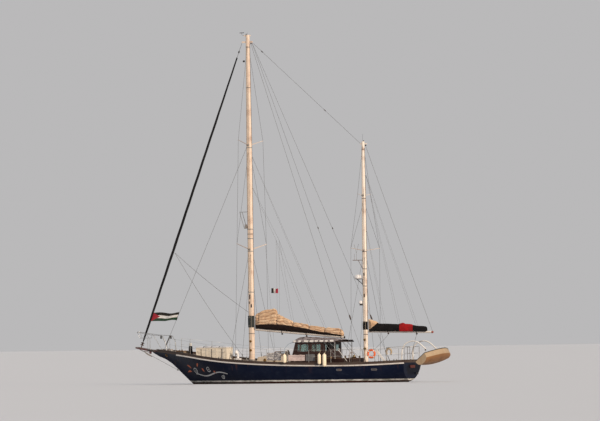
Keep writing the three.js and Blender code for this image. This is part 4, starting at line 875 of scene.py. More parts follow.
def woven(
    name, colour, stain_colour, stain=0.3, rough=0.85, sheen=0.015, threads=260.0, bump=0.01, slot=None,
):
    """A cloth's material, with its tree and weave group for a colour that comes from other nodes."""
    material, tree, shader = new_material(name, slot, sheen=sheen)
    shader.inputs["Specular IOR Level"].default_value = 0.1
    group = surface(
        shader, weave, bump, 0.5, Colour=colour or (0.5, 0.5, 0.5), Stain_Colour=stain_colour, Stain=stain,
        Threads=threads, Roughness=rough,
    )
    return material, tree, group


black_canvas = woven("black_canvas", (0.007, 0.007, 0.009), (0.02, 0.018, 0.018), slot="black_canvas")[0]
capstan_foot = below(deck_surface, 6.35, 0)
hood_rows = []
for r, z in (
    (0.128, 0.0), (0.126, 0.14), (0.118, 0.3), (0.116, 0.42), (0.112, 0.47), (0.085, 0.5), (0.06, 0.505),
):
    row = []
    for a in around(40):
        pleat = 1 + 0.05 * sin(9 * a + 3 * z) * (1 - z / 0.7) + 0.03 * sin(17 * a)
        row.append(capstan_foot + Vector((r * pleat * cos(a), r * pleat * sin(a), z)))
    hood_rows.append(row)
hood = make("capstan_hood", [skin(hood_rows, True)], black_canvas, crisp=180, replaces=["capstan"])
make("capstan_spindle", [turned([
    (0.06, 0.49), (0.075, 0.52), (0.098, 0.53), (0.1, 0.55), (0.07, 0.575), (0.066, 0.61), (0.092, 0.635),
    (0.094, 0.665), (0.08, 0.68), (0.03, 0.685), (0.028, 0.7),
], capstan_foot, 28)], whitish)
make("capstan_base", [turned([
    (0.1, -0.02), (0.105, 0.0), (0.11, 0.03), (0.05, 0.05), (0.05, 0.5), (0.03, 0.57),
], capstan_foot, 28)], galvanised)
teak = planked("teak", (0.2, 0.11, 0.06), (0.02, 0.012, 0.01), 0.11, 0.015, 0.5, 0.3, slot="teak")
smoked = painted(
    "smoked_pane", (0.03, 0.035, 0.04), 0.12, 0.25, 0.1, (0.2, 0.2, 0.2), coat=0.4, slot="glass",
)
LID_AFT, LID_FORE, LID_LOW, LID_HIGH = 6.678, 7.302, 2.0355, 2.08
frame_bars = [slab((LID_AFT, y - 0.05, LID_LOW), (LID_FORE, y + 0.05, LID_HIGH)) for y in (-0.262, 0.262)]
frame_bars += [
    slab((x - 0.05, -0.212, LID_LOW), (x + 0.05, 0.212, LID_HIGH)) for x in (LID_AFT + 0.05, LID_FORE - 0.05)
]
make("hatch_frame", frame_bars, teak, "hatch_lid", bevel=0.006, replaces=["fore_hatch_lid"])
make(
    "hatch_pane", [slab((LID_AFT + 0.095, -0.217, 2.045), (LID_FORE - 0.095, 0.217, 2.07))], smoked,
    "hatch_lid", bevel=0.003,
)
make(
    "hatch_fittings",
    [slab((7.2, y - 0.02, 2.079), (7.3, y + 0.02, 2.086)) for y in (-0.2, 0.2)] + [tube([
        (6.72, -0.06, 2.08), (6.72, -0.05, 2.1), (6.72, 0.05, 2.1), (6.72, 0.06, 2.08),
    ], 0.006)],
    stainless, "hatch_lid", bevel=0.002,
)

# Deck locker before the mast: painted boards with battens, webbing straps and rope beckets. A padded
# tarpaulin is strapped over its lid.
BOX_HALF = 0.375
cream_boards = planked(
    "cream_boards", (0.86, 0.78, 0.66), (0.16, 0.12, 0.09), 0.36, 0.012, 0.6, 0.25, 6.0, slot="cream_paint",
)
smooth_node("foredeck_locker", cream_boards, 30)
strap_web = woven("strap_webbing", (0.035, 0.03, 0.032), (0.09, 0.07, 0.06), slot="black_canvas")[0]
battens, webs = [], []
for x in (3.63, 4.32, 5.03, 5.72):
    low = below(deck_surface, x, 0.39).z + 0.01
    battens.append(slab((x - 0.03, BOX_HALF - 0.002, low), (x + 0.03, BOX_HALF + 0.012, 2.215)))
for x in (3.95, 4.66, 5.4):
    low = below(deck_surface, x, 0.39).z + 0.01
    webs.append(slab((x - 0.022, BOX_HALF - 0.002, low), (x + 0.022, BOX_HALF + 0.006, 2.22)))
rims = [slab((3.59, BOX_HALF - 0.002, 2.17), (5.76, BOX_HALF + 0.014, 2.222))]
for x, way in ((3.6, -1), (5.75, 1)):
    rims.append(slab((min(x, x + way * 0.014), -0.37, 2.17), (max(x, x + way * 0.014), 0.37, 2.222)))
make("locker_battens", both(*battens, rims[0]) + rims[1:], cream_boards, bevel=0.003)
make("locker_straps", both(*webs), strap_web, bevel=0.002)
beckets = []
for x in (3.7, 5.38):
    beckets.append(tube(eased([
        (x, 0.39, 2.05), (x + 0.03, 0.4, 1.93), (x + 0.22, 0.4, 1.93), (x + 0.25, 0.39, 2.05),
    ], 0.08), 0.009))
rope_cream = woven("rope_cream", (0.5, 0.44, 0.35), (0.25, 0.2, 0.15), threads=500.0)[0]
make("locker_beckets", both(*beckets), rope_cream)


def waver(x, y, z):
    """Smooth noise at a point."""
    return noise.noise(Vector((x, y, z)))


LID_FOOT, LID_CROWN, LID_PUFF = 2.278, 2.3, 0.045
pale_tarp = woven(
    "pale_tarpaulin", (0.62, 0.63, 0.68), (0.36, 0.33, 0.32), 0.3, 0.6, slot="printed_canvas",
)[0]
top_rows = []
for i in range(55):
    u = i / 54
    row = []
    for j in range(23):
        v = j / 22
        swell = (sin(pi * u) * sin(pi * v)) ** 0.4 if 0 < i < 54 and 0 < j < 22 else 0
        ripple = waver(u * 9, v * 3, 3.1) * LID_PUFF * 0.5
        padding = abs(sin(pi * 4 * u)) ** 0.35 * LID_PUFF + ripple
        z = LID_FOOT + (LID_CROWN - LID_FOOT) * swell + padding * swell
        row.append((3.585 + (5.765 - 3.585) * u, -0.39 + (0.39 + 0.39) * v, z))
    top_rows.append(row)
border = [row[0] for row in top_rows] + top_rows[-1][1:]
border += [row[-1] for row in top_rows[-2::-1]] + top_rows[0][-2:0:-1]
skirt = []
LID_MIDDLE_X = 4.675
for drop, tuck in ((0, 0), (0.012, 0.006), (0.03, 0.007), (0.04, 0.003), (0.0415, -0.006)):
    skirt.append([(
        p[0] + copysign(tuck, p[0] - LID_MIDDLE_X) * (abs(p[0] - LID_MIDDLE_X) > 1.08),
        p[1] + copysign(tuck, p[1]) * (abs(p[1]) > 0.38), p[2] - drop,
    ) for p in border])
cover = make(
    "locker_tarpaulin", [skin(top_rows), skin(skirt, True)], pale_tarp, "locker_lid", crisp=180,
    replaces=["foredeck_locker_lid"],
)
make(
    "locker_lid_board", [slab((3.592, -0.384, 2.2358), (5.758, 0.384, 2.274))], cream_boards, "locker_lid",
    bevel=0.003,
)
bands = []
for x in (4.12, 4.67, 5.22):
    profile = [(x, -0.397, 2.24), (x, -0.399, 2.288), (x, -0.3, 2.322), (x, 0, 2.342)]
    profile = eased(right_across(profile), 0.05, 3)
    bands.append(skin([
        [p + Vector((d, 0, up)) for p in profile]
        for d, up in ((-0.02, 0), (-0.02, 0.004), (0.02, 0.004), (0.02, 0))
    ], True))
make("lid_straps", bands, strap_web, "locker_lid")

# Deck ventilator: a dorade cowl of moulded white plastic, screwed to a box on the deck. Its flared mouth is
# turned forward, and a near-black red disc set in it is painted shade for the hollow throat.
vent_foot = below(deck_surface, 3.02, 0)
white_moulding = painted(
    "white_moulding", (0.66, 0.65, 0.66), 0.35, 0.3, 0.35, (0.2, 0.15, 0.12), slot="white_paint",
)


def cowl(foot, radius, height, mouth, reach):
    """A bent funnel that rises from its foot and opens into a flared mouth."""
    rows = []
    for i in range(19):
        t = i / 18
        bend = min(1.0, max(0.0, (t - 0.25) / 0.6)) * radians(80)
        x = reach * (1 - cos(bend)) + max(0, t - 0.85) * reach * 2.2
        z = height * (min(t, 0.25) / 0.25 * 0.4 + 0.6 * sin(bend) / sin(radians(80)))
        r = radius + (mouth - radius) * max(0.0, (t - 0.3) / 0.7) ** 1.7
        out, up = Vector((cos(bend), 0, -sin(bend))), Vector((0, 1, 0))
        rows.append([
            Vector(foot) + Vector((x, 0, z)) + (out * cos(a) + up * sin(a)) * r for a in around(28)
        ])
    lip = [[
        p + (p - sum(rows[-1], Vector()) / 28) * grow + Vector((back, 0, 0)) for p in rows[-1]
    ] for grow, back in ((0.05, 0.004), (0.04, -0.012))]
    return skin(rows + lip, True)


make("dorade_cowl", [
    cowl(vent_foot + Vector((0, 0, 0.14)), 0.07, 0.3, 0.15, 0.1),
    turned([(0.1, -0.02), (0.105, 0.02), (0.085, 0.05), (0.075, 0.16)], vent_foot, 28),
    slab(vent_foot + Vector((-0.17, -0.14, -0.03)), vent_foot + Vector((0.17, 0.14, 0.1))),
], white_moulding, crisp=45, bevel=0.006, replaces=["deck_ventilator"])
# Painted shade: a near-black red disc in the cowl's mouth stands for its shaded hollow throat.
throat_shade = painted("cowl_throat", (0.03, 0.01, 0.01), 0.7)
make("dorade_throat", [turned(
    [(0.1, 0.0), (0.09, 0.012)], vent_foot + Vector((0.15, 0, 0.43)), 24, (1, 0, -0.1),
)], throat_shade)

# Trunk cabin: painted cream, with a pitched teak skylight under bronze guard bars, round bronze ports in
# its sides, teak handrails along its top and a buff cowl at each after corner.
cream_paint = painted("cream_paint", (0.6, 0.51, 0.4), 0.5, 0.4, 0.35, slot="cream_paint")
smooth_node("trunk_cabin", cream_paint, 30)
skylight_frames, skylight_bars, skylight_panes = [], [], []
PITCHED = Matrix.Rotation(-atan2(0.14, 0.33), 3, "X")
for x in (-0.41, -0.02, 0.37):
    skylight_frames.append(slab((x - 0.03, 0.0, 1.86), (x + 0.03, 0.36, 1.89), PITCHED, (x, 0.165, 1.868)))
for z, y in ((1.93, 0.02), (1.8, 0.325)):
    skylight_frames.append(slab((-0.44, y - 0.03, z - 0.005), (0.4, y + 0.03, z + 0.022), PITCHED))
for x in (-0.215, 0.175):
    skylight_panes.append(slab((x - 0.16, 0.04, 1.868), (x + 0.16, 0.3, 1.876), PITCHED, (x, 0.165, 1.866)))
for k in range(9):
    x = -0.37 + k * 0.0875
    skylight_bars.append(tube([(x, 0.04, 1.945), (x, 0.31, 1.832)], 0.005, 6))
make("skylight_frames", both(*skylight_frames), teak, bevel=0.004)
make("skylight_bars", both(*skylight_bars), bronze)
make("skylight_panes", both(*skylight_panes), smoked, bevel=0.002)
ports = []
for x in (-0.75, 0.0, 0.7):
    y = between(x, [-1.18, 1.33], [0.979, 0.76])
    ports.append(turned([
        (0.1, -0.02), (0.105, 0.004), (0.095, 0.014), (0.075, 0.014), (0.07, 0.002), (0.002, 0.002),
    ], (x, y, 1.43), 28, (0.09, 1, 0.1)))
make("trunk_ports", both(*ports), bronze)
points = [below(trunk_surface, x, 0.67 if x > 0 else 0.72, 0.055) for x in (-1.0, -0.5, 0.0, 0.5, 0.85)]
down = Vector((0, 0, 0.05))
rails = [tube([points[0] - down] + points + [points[-1] - down], 0.016)]
rails += [turned([(0.022, -0.01), (0.018, 0.05)], below(trunk_surface, p.x, p.y), 12) for p in points]
make("trunk_handrails", both(*rails), teak)
grey_buff = painted("grey_buff", (0.33, 0.28, 0.24), 0.5, 0.3, 0.3)
for tag, side in SIDES:
    at = below(trunk_surface, -0.95, 0.72 * side)
    make(f"trunk_cowl_{tag}", [
        cowl(at, 0.05, 0.27, 0.12, 0.08), turned([(0.08, -0.02), (0.075, 0.03), (0.055, 0.05)], at, 24),
    ], grey_buff, crisp=50)

# Pilothouse: dark varnished boards on a frame, with rounded window trims and a bar in each side window. Its
# joinery, instruments and settee cushions are to be seen through the tinted glass.
maroon_wood = planked(
    "maroon_boards", (0.026, 0.0105, 0.0095), (0.012, 0.006, 0.005), 0.12, 0.02, 0.4, 0.3, 3.0,
    slot="dark_wood",
)
maroon_wood.node_tree.nodes["Principled BSDF"].inputs["Specular IOR Level"].default_value = 0.2
smooth_node("pilothouse_walls", maroon_wood, 25)
glass, glass_tree, glass_shader = new_material("window_glass", "glass")
glass_shader.inputs["Base Color"].default_value = (0.48, 0.64, 0.62, 1)
glass_shader.inputs["Transmission Weight"].default_value = 0.85
glass_shader.inputs["IOR"].default_value = 1.45
smears = ramp_of(noise_of(glass_tree, 7.0, 5.0, (1, 1, 3)), 0.4, 0.8)
feed(glass_shader.inputs["Roughness"], times(smears, 0.22))
for pane in ("side_glass_port", "side_glass_starboard", "windscreen_glass"):
    smooth_node(pane, glass, 30)
HOUSE_AFT, HOUSE_FORE, HOUSE_HALF = -3.56, -1.3, 1.27
HOUSE_LOW, HOUSE_HIGH = 1.18, 2.48
HOUSE_LEAN, HOUSE_RAKE = 0.07, 0.33


def wall_y(z):
    return HOUSE_HALF - HOUSE_LEAN * (z - HOUSE_LOW) / (HOUSE_HIGH - HOUSE_LOW)


def wall_x(z):
    return HOUSE_FORE - HOUSE_RAKE * (z - HOUSE_LOW) / (HOUSE_HIGH - HOUSE_LOW)


def trim(corners, place, wide=0.045, thick=0.016):
    """A flat frame round an opening. place turns a point on the wall, and how far off it, into a place."""
    (a0, z0), (a1, z1) = corners
    loop = []
    for grow in (0, wide):
        ring = []
        r = 0.06 + grow
        for ca, cz, start in (
            (a1 - 0.06, z1 - 0.06, 0), (a0 + 0.06, z1 - 0.06, 90), (a0 + 0.06, z0 + 0.06, 180),
            (a1 - 0.06, z0 + 0.06, 270),
        ):
            for k in range(5):
                a = radians(start + k * 22.5)
                ring.append((ca + r * cos(a), cz + r * sin(a)))
        loop.append(ring)
    inner, outer = loop
    rows = [
        [place(p, -0.004) for p in inner], [place(p, thick) for p in inner],
        [place(p, thick) for p in outer], [place(p, -0.004) for p in outer],
    ]
    return skin(rows, True)


def on_side(p, off):
    return p[0], wall_y(p[1]) + off, p[1]


def on_front(p, off):
    return wall_x(p[1]) + off, p[0], p[1]


trims = [
    trim(opening, on_side) for opening in (((-3.39, 1.93), (-2.76, 2.37)), ((-2.54, 1.93), (-1.8, 2.37)))
]
trims.append(trim(((0.42, 1.93), (1.08, 2.37)), on_front))
middle_trim = trim(((-0.34, 1.93), (0.34, 2.37)), on_front)
aft_trim = trim(((0.47, 1.93), (0.93, 2.33)), lambda p, off: (HOUSE_AFT - off, p[0], p[1]))
window_trim = planked(
    "window_trim", (0.045, 0.016, 0.014), (0.02, 0.01, 0.01), 0.3, 0.01, 0.35, 0.25, slot="dark_wood",
)
make("window_trims", both(*trims, aft_trim) + [middle_trim], window_trim)
pane_y = wall_y(2.15)
bars = [
    slab((aft, pane_y - 0.05, 1.93), (fore, pane_y + 0.012, 2.37))
    for aft, fore in ((-1.98, -1.945), (-3.09, -3.06))
]
make("window_bars", both(*bars), window_trim, bevel=0.004)
mouldings = []
for z in (1.83, 1.5):
    mouldings.append(slab(
        (HOUSE_AFT + 0.01, wall_y(z) - 0.005, z - 0.02), (wall_x(z) - 0.01, wall_y(z) + 0.014, z + 0.02),
    ))
fore_moulding = slab((wall_x(1.83) - 0.004, -wall_y(1.83), 1.81), (wall_x(1.83) + 0.014, wall_y(1.83), 1.85))
make("house_mouldings", both(*mouldings) + [fore_moulding], window_trim, bevel=0.004)
lining = planked("lining", (0.22, 0.13, 0.08), (0.05, 0.03, 0.02), 0.1, 0.03, 0.6, 0.2, slot="teak")
joinery = [
    slab((-1.95, -0.9, 0.62), (-1.74, -0.1, 1.7)), slab((-2.1, -0.9, 1.7), (-1.74, -0.1, 1.74)),
    slab((-2.35, 0.45, 0.62), (-1.74, 1.12, 1.5)), slab((-3.38, 0.55, 0.62), (-2.6, 1.12, 1.05)),
    slab((-3.38, -1.12, 0.62), (-2.4, -0.55, 1.05)), slab((-3.38, -1.13, 1.05), (-2.4, -1.05, 1.95)),
    slab((-3.38, 1.05, 1.05), (-2.6, 1.13, 1.95)),
]
make("house_joinery", joinery, lining, bevel=0.01)
instrument_faces = [slab((-2.05, -0.85 + i * 0.24, 1.74), (-1.93, -0.68 + i * 0.24, 1.86)) for i in range(3)]
make("house_instruments", instrument_faces, iron_black, bevel=0.008)
settee_cloth = woven("settee_cloth", (0.05, 0.09, 0.14), (0.03, 0.03, 0.04), threads=180)[0]


def cushion(low, high, puff, seed):
    """A stuffed pad: crowned on top, its sides pulled in between the corners, flat underneath."""
    (x0, y0, z0), (x1, y1, z1) = low, high
    corners = [(0, 0), (1, 0), (1, 1), (0, 1), (0, 0)]
    rows = []
    for j in range(4):
        bulge = 0.012 * sin(pi * j / 3)
        ring = []
        for a in range(48):
            edge, f = a // 12, a % 12 / 12
            (ua, va), (ub, vb) = corners[edge:edge + 2]
            out = bulge - 0.012 * sin(pi * f)
            x, y = x0 + (x1 - x0) * (ua + (ub - ua) * f), y0 + (y1 - y0) * (va + (vb - va) * f)
            ring.append((x + (vb - va) * out, y - (ub - ua) * out, z0 + (z1 - z0) * j / 3))
        rows.append(ring)
    middle = Vector(((x0 + x1) / 2, (y0 + y1) / 2, z1))
    for shrink in (0.93, 0.8, 0.6, 0.35, 0.1):
        ring = []
        for p in rows[3]:
            ripple = waver(p[0] * 6, p[1] * 6, seed) * puff * 0.35 * (1 - shrink)
            ring.append(middle.lerp(Vector(p), shrink) + Vector((0, 0, puff * (1 - shrink ** 2) + ripple)))
        rows.append(ring)
    return skin(rows, True, True)


pads = [
    cushion((-3.37, 0.57, 1.052), (-2.61, 1.1, 1.15), 0.02, 1.0),
    cushion((-3.37, -1.1, 1.052), (-2.41, -0.57, 1.15), 0.02, 2.0),
]
settee = make("settee_cushions", pads, settee_cloth, crisp=60)

# Awning over the pilothouse roof: a printed grey canvas cover on a dark wooden roof board, puffed up by the
# gear stowed under it, with white tabs sewn along its edges. Pipe posts and braces carry it aft.
AWNING_AFT = [1.45, 1.56, 2.15, 3.3, 4.3, 4.4]
AWNING_HALF = [1.2, 1.27, 1.29, 1.29, 1.29, 1.27]
AWNING_CROWN = [2.74, 2.84, 2.84, 2.76, 2.675, 2.63]
board_rows = []
for aft, half in zip(AWNING_AFT, AWNING_HALF):
    x, half = -aft, half - 0.012
    board_rows.append([
        (x, half, 2.4806), (x, half, 2.532), (x, 0, 2.545), (x, -half, 2.532), (x, -half, 2.4806),
    ])
posts = both(
    tube([(-4.33, 1.13, 1.4815), (-4.33, 1.13, 2.5)], 0.022, 12),
    turned([(0.045, 0), (0.042, 0.012), (0.025, 0.016)], (-4.33, 1.13, 1.4806), 16),
)
braces = both(
    tube(eased([(-3.95, 1.22, 2.49), (-4.33, 1.16, 2.18), (-4.33, 1.15, 2.1)], 0.05), 0.013),
    tube([(-3.62, 1.23, 2.49), (-4.1, 1.17, 1.95), (-4.32, 1.15, 1.7)], 0.011),
)
hoops = both(tube(eased([
    (-1.5, 1.12, 2.5), (-1.1, 1.08, 2.42), (-0.75, 1.0, 2.1), (-0.72, 0.93, 1.64),
], 0.3, 8), 0.013))
make("roof_board", [skin(board_rows, True, True)], maroon_wood, bevel=0.006, replaces=["pilothouse_roof"])
make("roof_posts", posts + braces, stainless)
blue_hoop = painted("pale_blue_tube", (0.35, 0.47, 0.58), 0.4, 0.3, 0.2)
make("dodger_hoops", hoops, blue_hoop)
awning_cloth, awning_tree, awning_weave = woven(
    "awning_print", None, (0.12, 0.1, 0.11), 0.35, slot="printed_canvas",
)
blocks = put(
    awning_tree, "ShaderNodeTexVoronoi", Scale=5.5, Vector=place_of(awning_tree),
).outputs["Distance"]
print_tone = blend_of(ramp_of(blocks, 0.3, 0.5), (0.16, 0.135, 0.14), (0.28, 0.245, 0.25))
blots = ramp_of(noise_of(awning_tree, 3.0), 0.52, 0.62)
feed(awning_weave.inputs["Colour"], blend_of(blots, print_tone, (0.05, 0.045, 0.05)))
awning_rows = []
for i in range(73):
    x = -1.452 - 2.945 * i / 72
    half = between(-x, AWNING_AFT, AWNING_HALF) + 0.004
    crown = between(-x, AWNING_AFT, AWNING_CROWN)
    row = []
    for j in range(61):
        s = -1 + 2 * j / 60
        share = abs(s)
        y = half * copysign(min(1.0, share / 0.9), s)
        rise = max(0.0, 1 - (min(1.0, share / 0.9)) ** 2.6)
        z = 2.546 + (crown - 2.546) * rise
        lump = waver(x * 2.6, y * 3.1, 0.5) * 0.03 + abs(waver(x * 5, y * 1.4, 4)) * 0.025 - 0.02
        z += lump * min(1, rise * 2)
        if share > 0.9:
            drop = (share - 0.9) / 0.1
            scallop = 0.035 + 0.035 * abs(sin(pi * (x + 1.45) / 0.31)) ** 0.6
            z = 2.546 - drop * scallop
            y = copysign(half + 0.006 * drop, s)
        row.append((x, y, min(z, crown + 0.004)))
    awning_rows.append(row)
awning = make("awning", [skin(awning_rows)], awning_cloth, crisp=180)
front_edge = awning_rows[0][3:-3]
front_foot = [(-1.447, y, min(z, 2.53)) for _, y, z in front_edge]
make("awning_front", [skin([front_edge, front_foot])], awning_cloth, crisp=180)
TABS = [
    (-1.48, -1.73), (-1.89, -2.09), (-2.3, -2.6), (-2.68, -2.96), (-3.03, -3.26), (-3.37, -3.62),
    (-3.75, -3.93), (-4.08, -4.33),
]
white_cloth = woven("white_cloth", (0.72, 0.7, 0.68), (0.35, 0.3, 0.27), 0.25, slot="printed_canvas")[0]
for tag, side in SIDES:
    for n, (fore, aft) in enumerate(TABS):
        rows = []
        for i in range(9):
            x = fore + (aft - fore) * i / 8
            half = between(-x, AWNING_AFT, AWNING_HALF)
            curl = 0.008 * sin(5 * x)
            low = 2.505 + 0.02 * (abs(i - 4) / 4) ** 2
            rows.append([
                (x, side * (half - 0.05), 2.615), (x, side * (half - 0.005), 2.6),
                (x, side * (half + 0.02 + curl), 2.565), (x, side * (half + 0.024 + curl), low),
            ])
        tab = make(f"awning_tab_{tag}_{n + 1}", [skin(rows)], white_cloth, crisp=180)

# Cockpit: a varnished coaming with a teak cap, slatted sole, buff cushions on both benches and bronze
# sheet winches on the coaming.
smooth_node("cockpit_coaming", maroon_wood, 30)
cap = []
for y0, y1, x0, x1 in (
    (0.868, 1.022, -5.475, -3.66), (-1.022, -0.868, -5.475, -3.66), (-0.868, 0.868, -5.475, -5.34),
):
    cap.append(slab((x0, y0, 1.4815), (x1, y1, 1.5)))
make("coaming_cap", cap, teak, bevel=0.006)
slats = [slab((-5.3, -0.46 + i * 0.077, 0.524), (-3.82, -0.41 + i * 0.077, 0.546)) for i in range(13)]
make(
    "cockpit_grating",
    slats + [slab((x, -0.47, 0.521), (x + 0.05, 0.47, 0.538)) for x in (-5.2, -4.6, -4.0)], teak,
    bevel=0.003,
)
buff_cloth = woven("buff_cushion_cloth", (0.4, 0.31, 0.21), (0.15, 0.11, 0.08), 0.35)[0]
for tag, side in SIDES:
    ends = sorted((side * 0.515, side * 0.868))
    pads = [
        cushion((x, ends[0], 0.962), (x + 0.48, ends[1], 1.03), 0.02, 3 + x) for x in (-5.32, -4.82, -4.32)
    ]
    make(f"cockpit_cushions_{tag}", pads, buff_cloth, crisp=60)
winch_outline = [
    (0.062, 0), (0.062, 0.015), (0.05, 0.02), (0.043, 0.05), (0.045, 0.09), (0.06, 0.11), (0.058, 0.13),
    (0.03, 0.138), (0.012, 0.138),
]
winches = [turned(winch_outline, (x, 0.944, 1.5), 28) for x in (-3.95, -4.95)]
make("coaming_winches", both(*winches), bronze)

# Steering: a panelled wooden pedestal with a bronze compass dome and lever, and a six-spoked teak wheel with
# turned handles on a bronze hub.
PEDESTAL_X = -5.06
WHEEL = Vector((-4.905, 0, 1.43))
SPOKE = [
    (0.012, 0.045), (0.014, 0.1), (0.011, 0.14), (0.015, 0.2), (0.016, 0.26), (0.011, 0.31), (0.013, 0.34),
    (0.013, 0.4), (0.012, 0.435), (0.009, 0.445), (0.014, 0.47), (0.013, 0.5), (0.006, 0.514),
]
column = [
    slab((-5.16, -0.11, 0.5235), (-4.96, 0.11, 1.56)), slab((-5.18, -0.13, 0.5235), (-4.94, 0.13, 0.6)),
    slab((-5.17, -0.12, 1.54), (-4.95, 0.12, 1.575)),
]
column += [
    slab((-4.966, -0.075, 0.66), (-4.955, 0.075, 1.34)), slab((-5.165, -0.075, 0.66), (-5.154, 0.075, 1.34)),
]
make("pedestal_column", column, maroon_wood, bevel=0.008, replaces=["steering_pedestal"])
dome = turned([
    (0.085, 0), (0.085, 0.03), (0.078, 0.04), (0.074, 0.07), (0.055, 0.1), (0.02, 0.115), (0.003, 0.116),
], (PEDESTAL_X, 0, 1.574), 32)
axle = tube([(-4.96, 0, 1.43), (-4.845, 0, 1.43)], 0.016, 24)
lever = tube([(PEDESTAL_X, 0.11, 1.4), (PEDESTAL_X, 0.14, 1.4), (PEDESTAL_X - 0.01, 0.15, 1.55)], 0.009)
make("pedestal_fittings", [dome, axle, lever, turned(
    [(0.018, 0), (0.02, 0.02), (0.004, 0.035)], (PEDESTAL_X - 0.01, 0.15, 1.545), 16,
)], bronze)
rim_points = [WHEEL + Vector((0, 0.42 * cos(a), 0.42 * sin(a))) for a in around(64)]
rim_wood = [ring_tube(rim_points, 0.0165, 12)]
for k in range(6):
    lean = k * pi / 3 + pi / 6
    way = Vector((0, cos(lean), sin(lean)))
    rim_wood.append(turned(SPOKE, WHEEL, 14, way))
make("wheel_wood", rim_wood, teak, "helm", replaces=["steering_wheel"])
hub_rows = [
    (0.0172, -0.028), (0.05, -0.028), (0.06, -0.02), (0.062, 0.0), (0.052, 0.03), (0.045, 0.04),
    (0.0172, 0.04),
]
make("wheel_hub", [turned(hub_rows, WHEEL, 32, (1, 0, 0))], bronze, "helm")

# Companionway door: a framed panel of the same varnished boards, with louvres let into it. It is hinged at
# its port edge and has a bronze handle.
smooth_node("companionway_door", maroon_wood, 30)
louvres = [slab(
    (-3.566, -0.18, 1.42 + i * 0.045), (-3.552, 0.18, 1.45 + i * 0.045), Matrix.Rotation(0.5, 3, "Y"),
) for i in range(12)]
rails = [
    slab((-3.568, -0.22, z), (-3.55, 0.22, z + 0.06)) for z in (1.34, 1.97, 2.24)
] + [slab((-3.568, y, 1.34), (-3.55, y + 0.05, 2.3)) for y in (-0.27, 0.2)]
make("door_panels", louvres + rails, window_trim, "cabin_door", bevel=0.003)
make("door_handle", [
    turned([(0.022, 0), (0.02, 0.006), (0.009, 0.012), (0.009, 0.03)], (-3.553, -0.24, 1.8), 20, (-1, 0, 0)),
    tube([(-3.585, -0.24, 1.8), (-3.587, -0.15, 1.8)], 0.008),
], bronze, "cabin_door")

# Masts and spreaders: oval spars, painted warm cream over old varnish. Each has a sail track aft, bands and
# halyards, winches and cleats low down, and lamps, a whip and blocks at its head; the main has a wind vane.
MAIN_X, MIZZEN_X = 2.03, -5.87
mast_paint = painted("mast_paint", (0.66, 0.53, 0.43), 0.5, 0.5, 0.55, (0.24, 0.12, 0.08), slot="spar_paint")
boom_paint = painted("boom_paint", (0.66, 0.61, 0.56), 0.45, 0.4, 0.3, slot="white_paint")
mizzen_paint = painted(
    "mizzen_mast_paint", (0.74, 0.65, 0.57), 0.5, 0.5, 0.5, (0.24, 0.12, 0.08), slot="spar_paint",
)
smooth_node("main_mast", mast_paint, 40)
smooth_node("mizzen_mast", mizzen_paint, 40)
for name in ("main_lower_spreaders", "main_upper_spreaders", "mizzen_lower_spreaders"):
    smooth_node(name, mast_paint, 60)
for name in ("main_boom", "mizzen_boom"):
    smooth_node(name, boom_paint, 50)


def mast_half(main, z):
    """Half the mast's depth and half its width at a level."""
    low, top = (1.3, 21.48) if main else (1.2, 14.7)
    knee = low + (top - low) * 0.62
    deep = (0.38, 0.25) if main else (0.29, 0.19)
    wide = (0.27, 0.18) if main else (0.21, 0.14)
    return tuple(between(z, [low, knee, top], [v[0] / 2, v[0] / 2, v[1] / 2]) for v in (deep, wide))


def mast_ring(main, z, proud, high):
    x = MAIN_X if main else MIZZEN_X
    rows = []
    for level, out in ((z, -0.002), (z, proud), (z + high, proud), (z + high, -0.002)):
        deep, wide = mast_half(main, level)
        rows.append([(x + (deep + out) * cos(a), (wide + out) * sin(a), level) for a in around(32)])
    return skin(rows, True)


for tag, main, foot, top, bands in (
    ("main", True, 3.5, 20.9, (3.05, 5.6, 8.12, 8.9, 9.18, 9.48, 14.5, 18.2, 20.7)),
    ("mizzen", False, 3.4, 14.3, (2.9, 5.85, 6.9, 7.95, 11.2, 14.2)),
):
    x = MAIN_X if main else MIZZEN_X
    levels = np.linspace(foot, top, 12)
    back = [(x - mast_half(main, z)[0] - 0.01, 0, float(z)) for z in levels]
    track = skin([[(p[0] + dx, y, p[2]) for dx, y in (
        (0.015, -0.016), (-0.008, -0.016), (-0.008, 0.016), (0.015, 0.016),
    )] for p in back], True, True)
    make(f"{tag}_sail_track", [track], galvanised)
    make(f"{tag}_mast_bands", [mast_ring(main, z, 0.006, 0.05) for z in bands], galvanised)
    halyards = []
    for side, off, high in (
        (1, 0.05, top), (-1, 0.05, top - 0.4), (1, -0.06, top - 2.5), (-1, -0.06, top - 3.5),
    ):
        points = []
        for z in np.linspace(2.35, high, 9):
            points.append((x + off, side * (mast_half(main, z)[1] + 0.018), float(z)))
        halyards.append(tube(points, 0.006, 6))
    make(f"{tag}_halyards", halyards, rope_cream)
mast_gear, mast_dark = [], []
for main, x in ((True, MAIN_X), (False, MIZZEN_X)):
    wide = mast_half(main, 2.3)[1]
    for z, side in ((2.05, 1), (2.3, -1), (2.6, 1)):
        mast_gear.append(turned([
            (0.07, -0.02), (0.07, 0.02), (0.05, 0.03), (0.045, 0.08), (0.06, 0.11), (0.055, 0.13),
            (0.02, 0.135),
        ], (x, side * wide, z), 24, (0, side, 0)))
    for z in (1.75, 1.95, 2.15):
        for side in (1, -1):
            mast_gear.append(tube([
                (x + 0.05, side * (wide + 0.03), z - 0.09), (x + 0.05, side * (wide + 0.03), z + 0.09),
            ], 0.011))
            mast_gear.append(tube([
                (x + 0.05, side * (wide - 0.02), z), (x + 0.05, side * (wide + 0.03), z),
            ], 0.014))
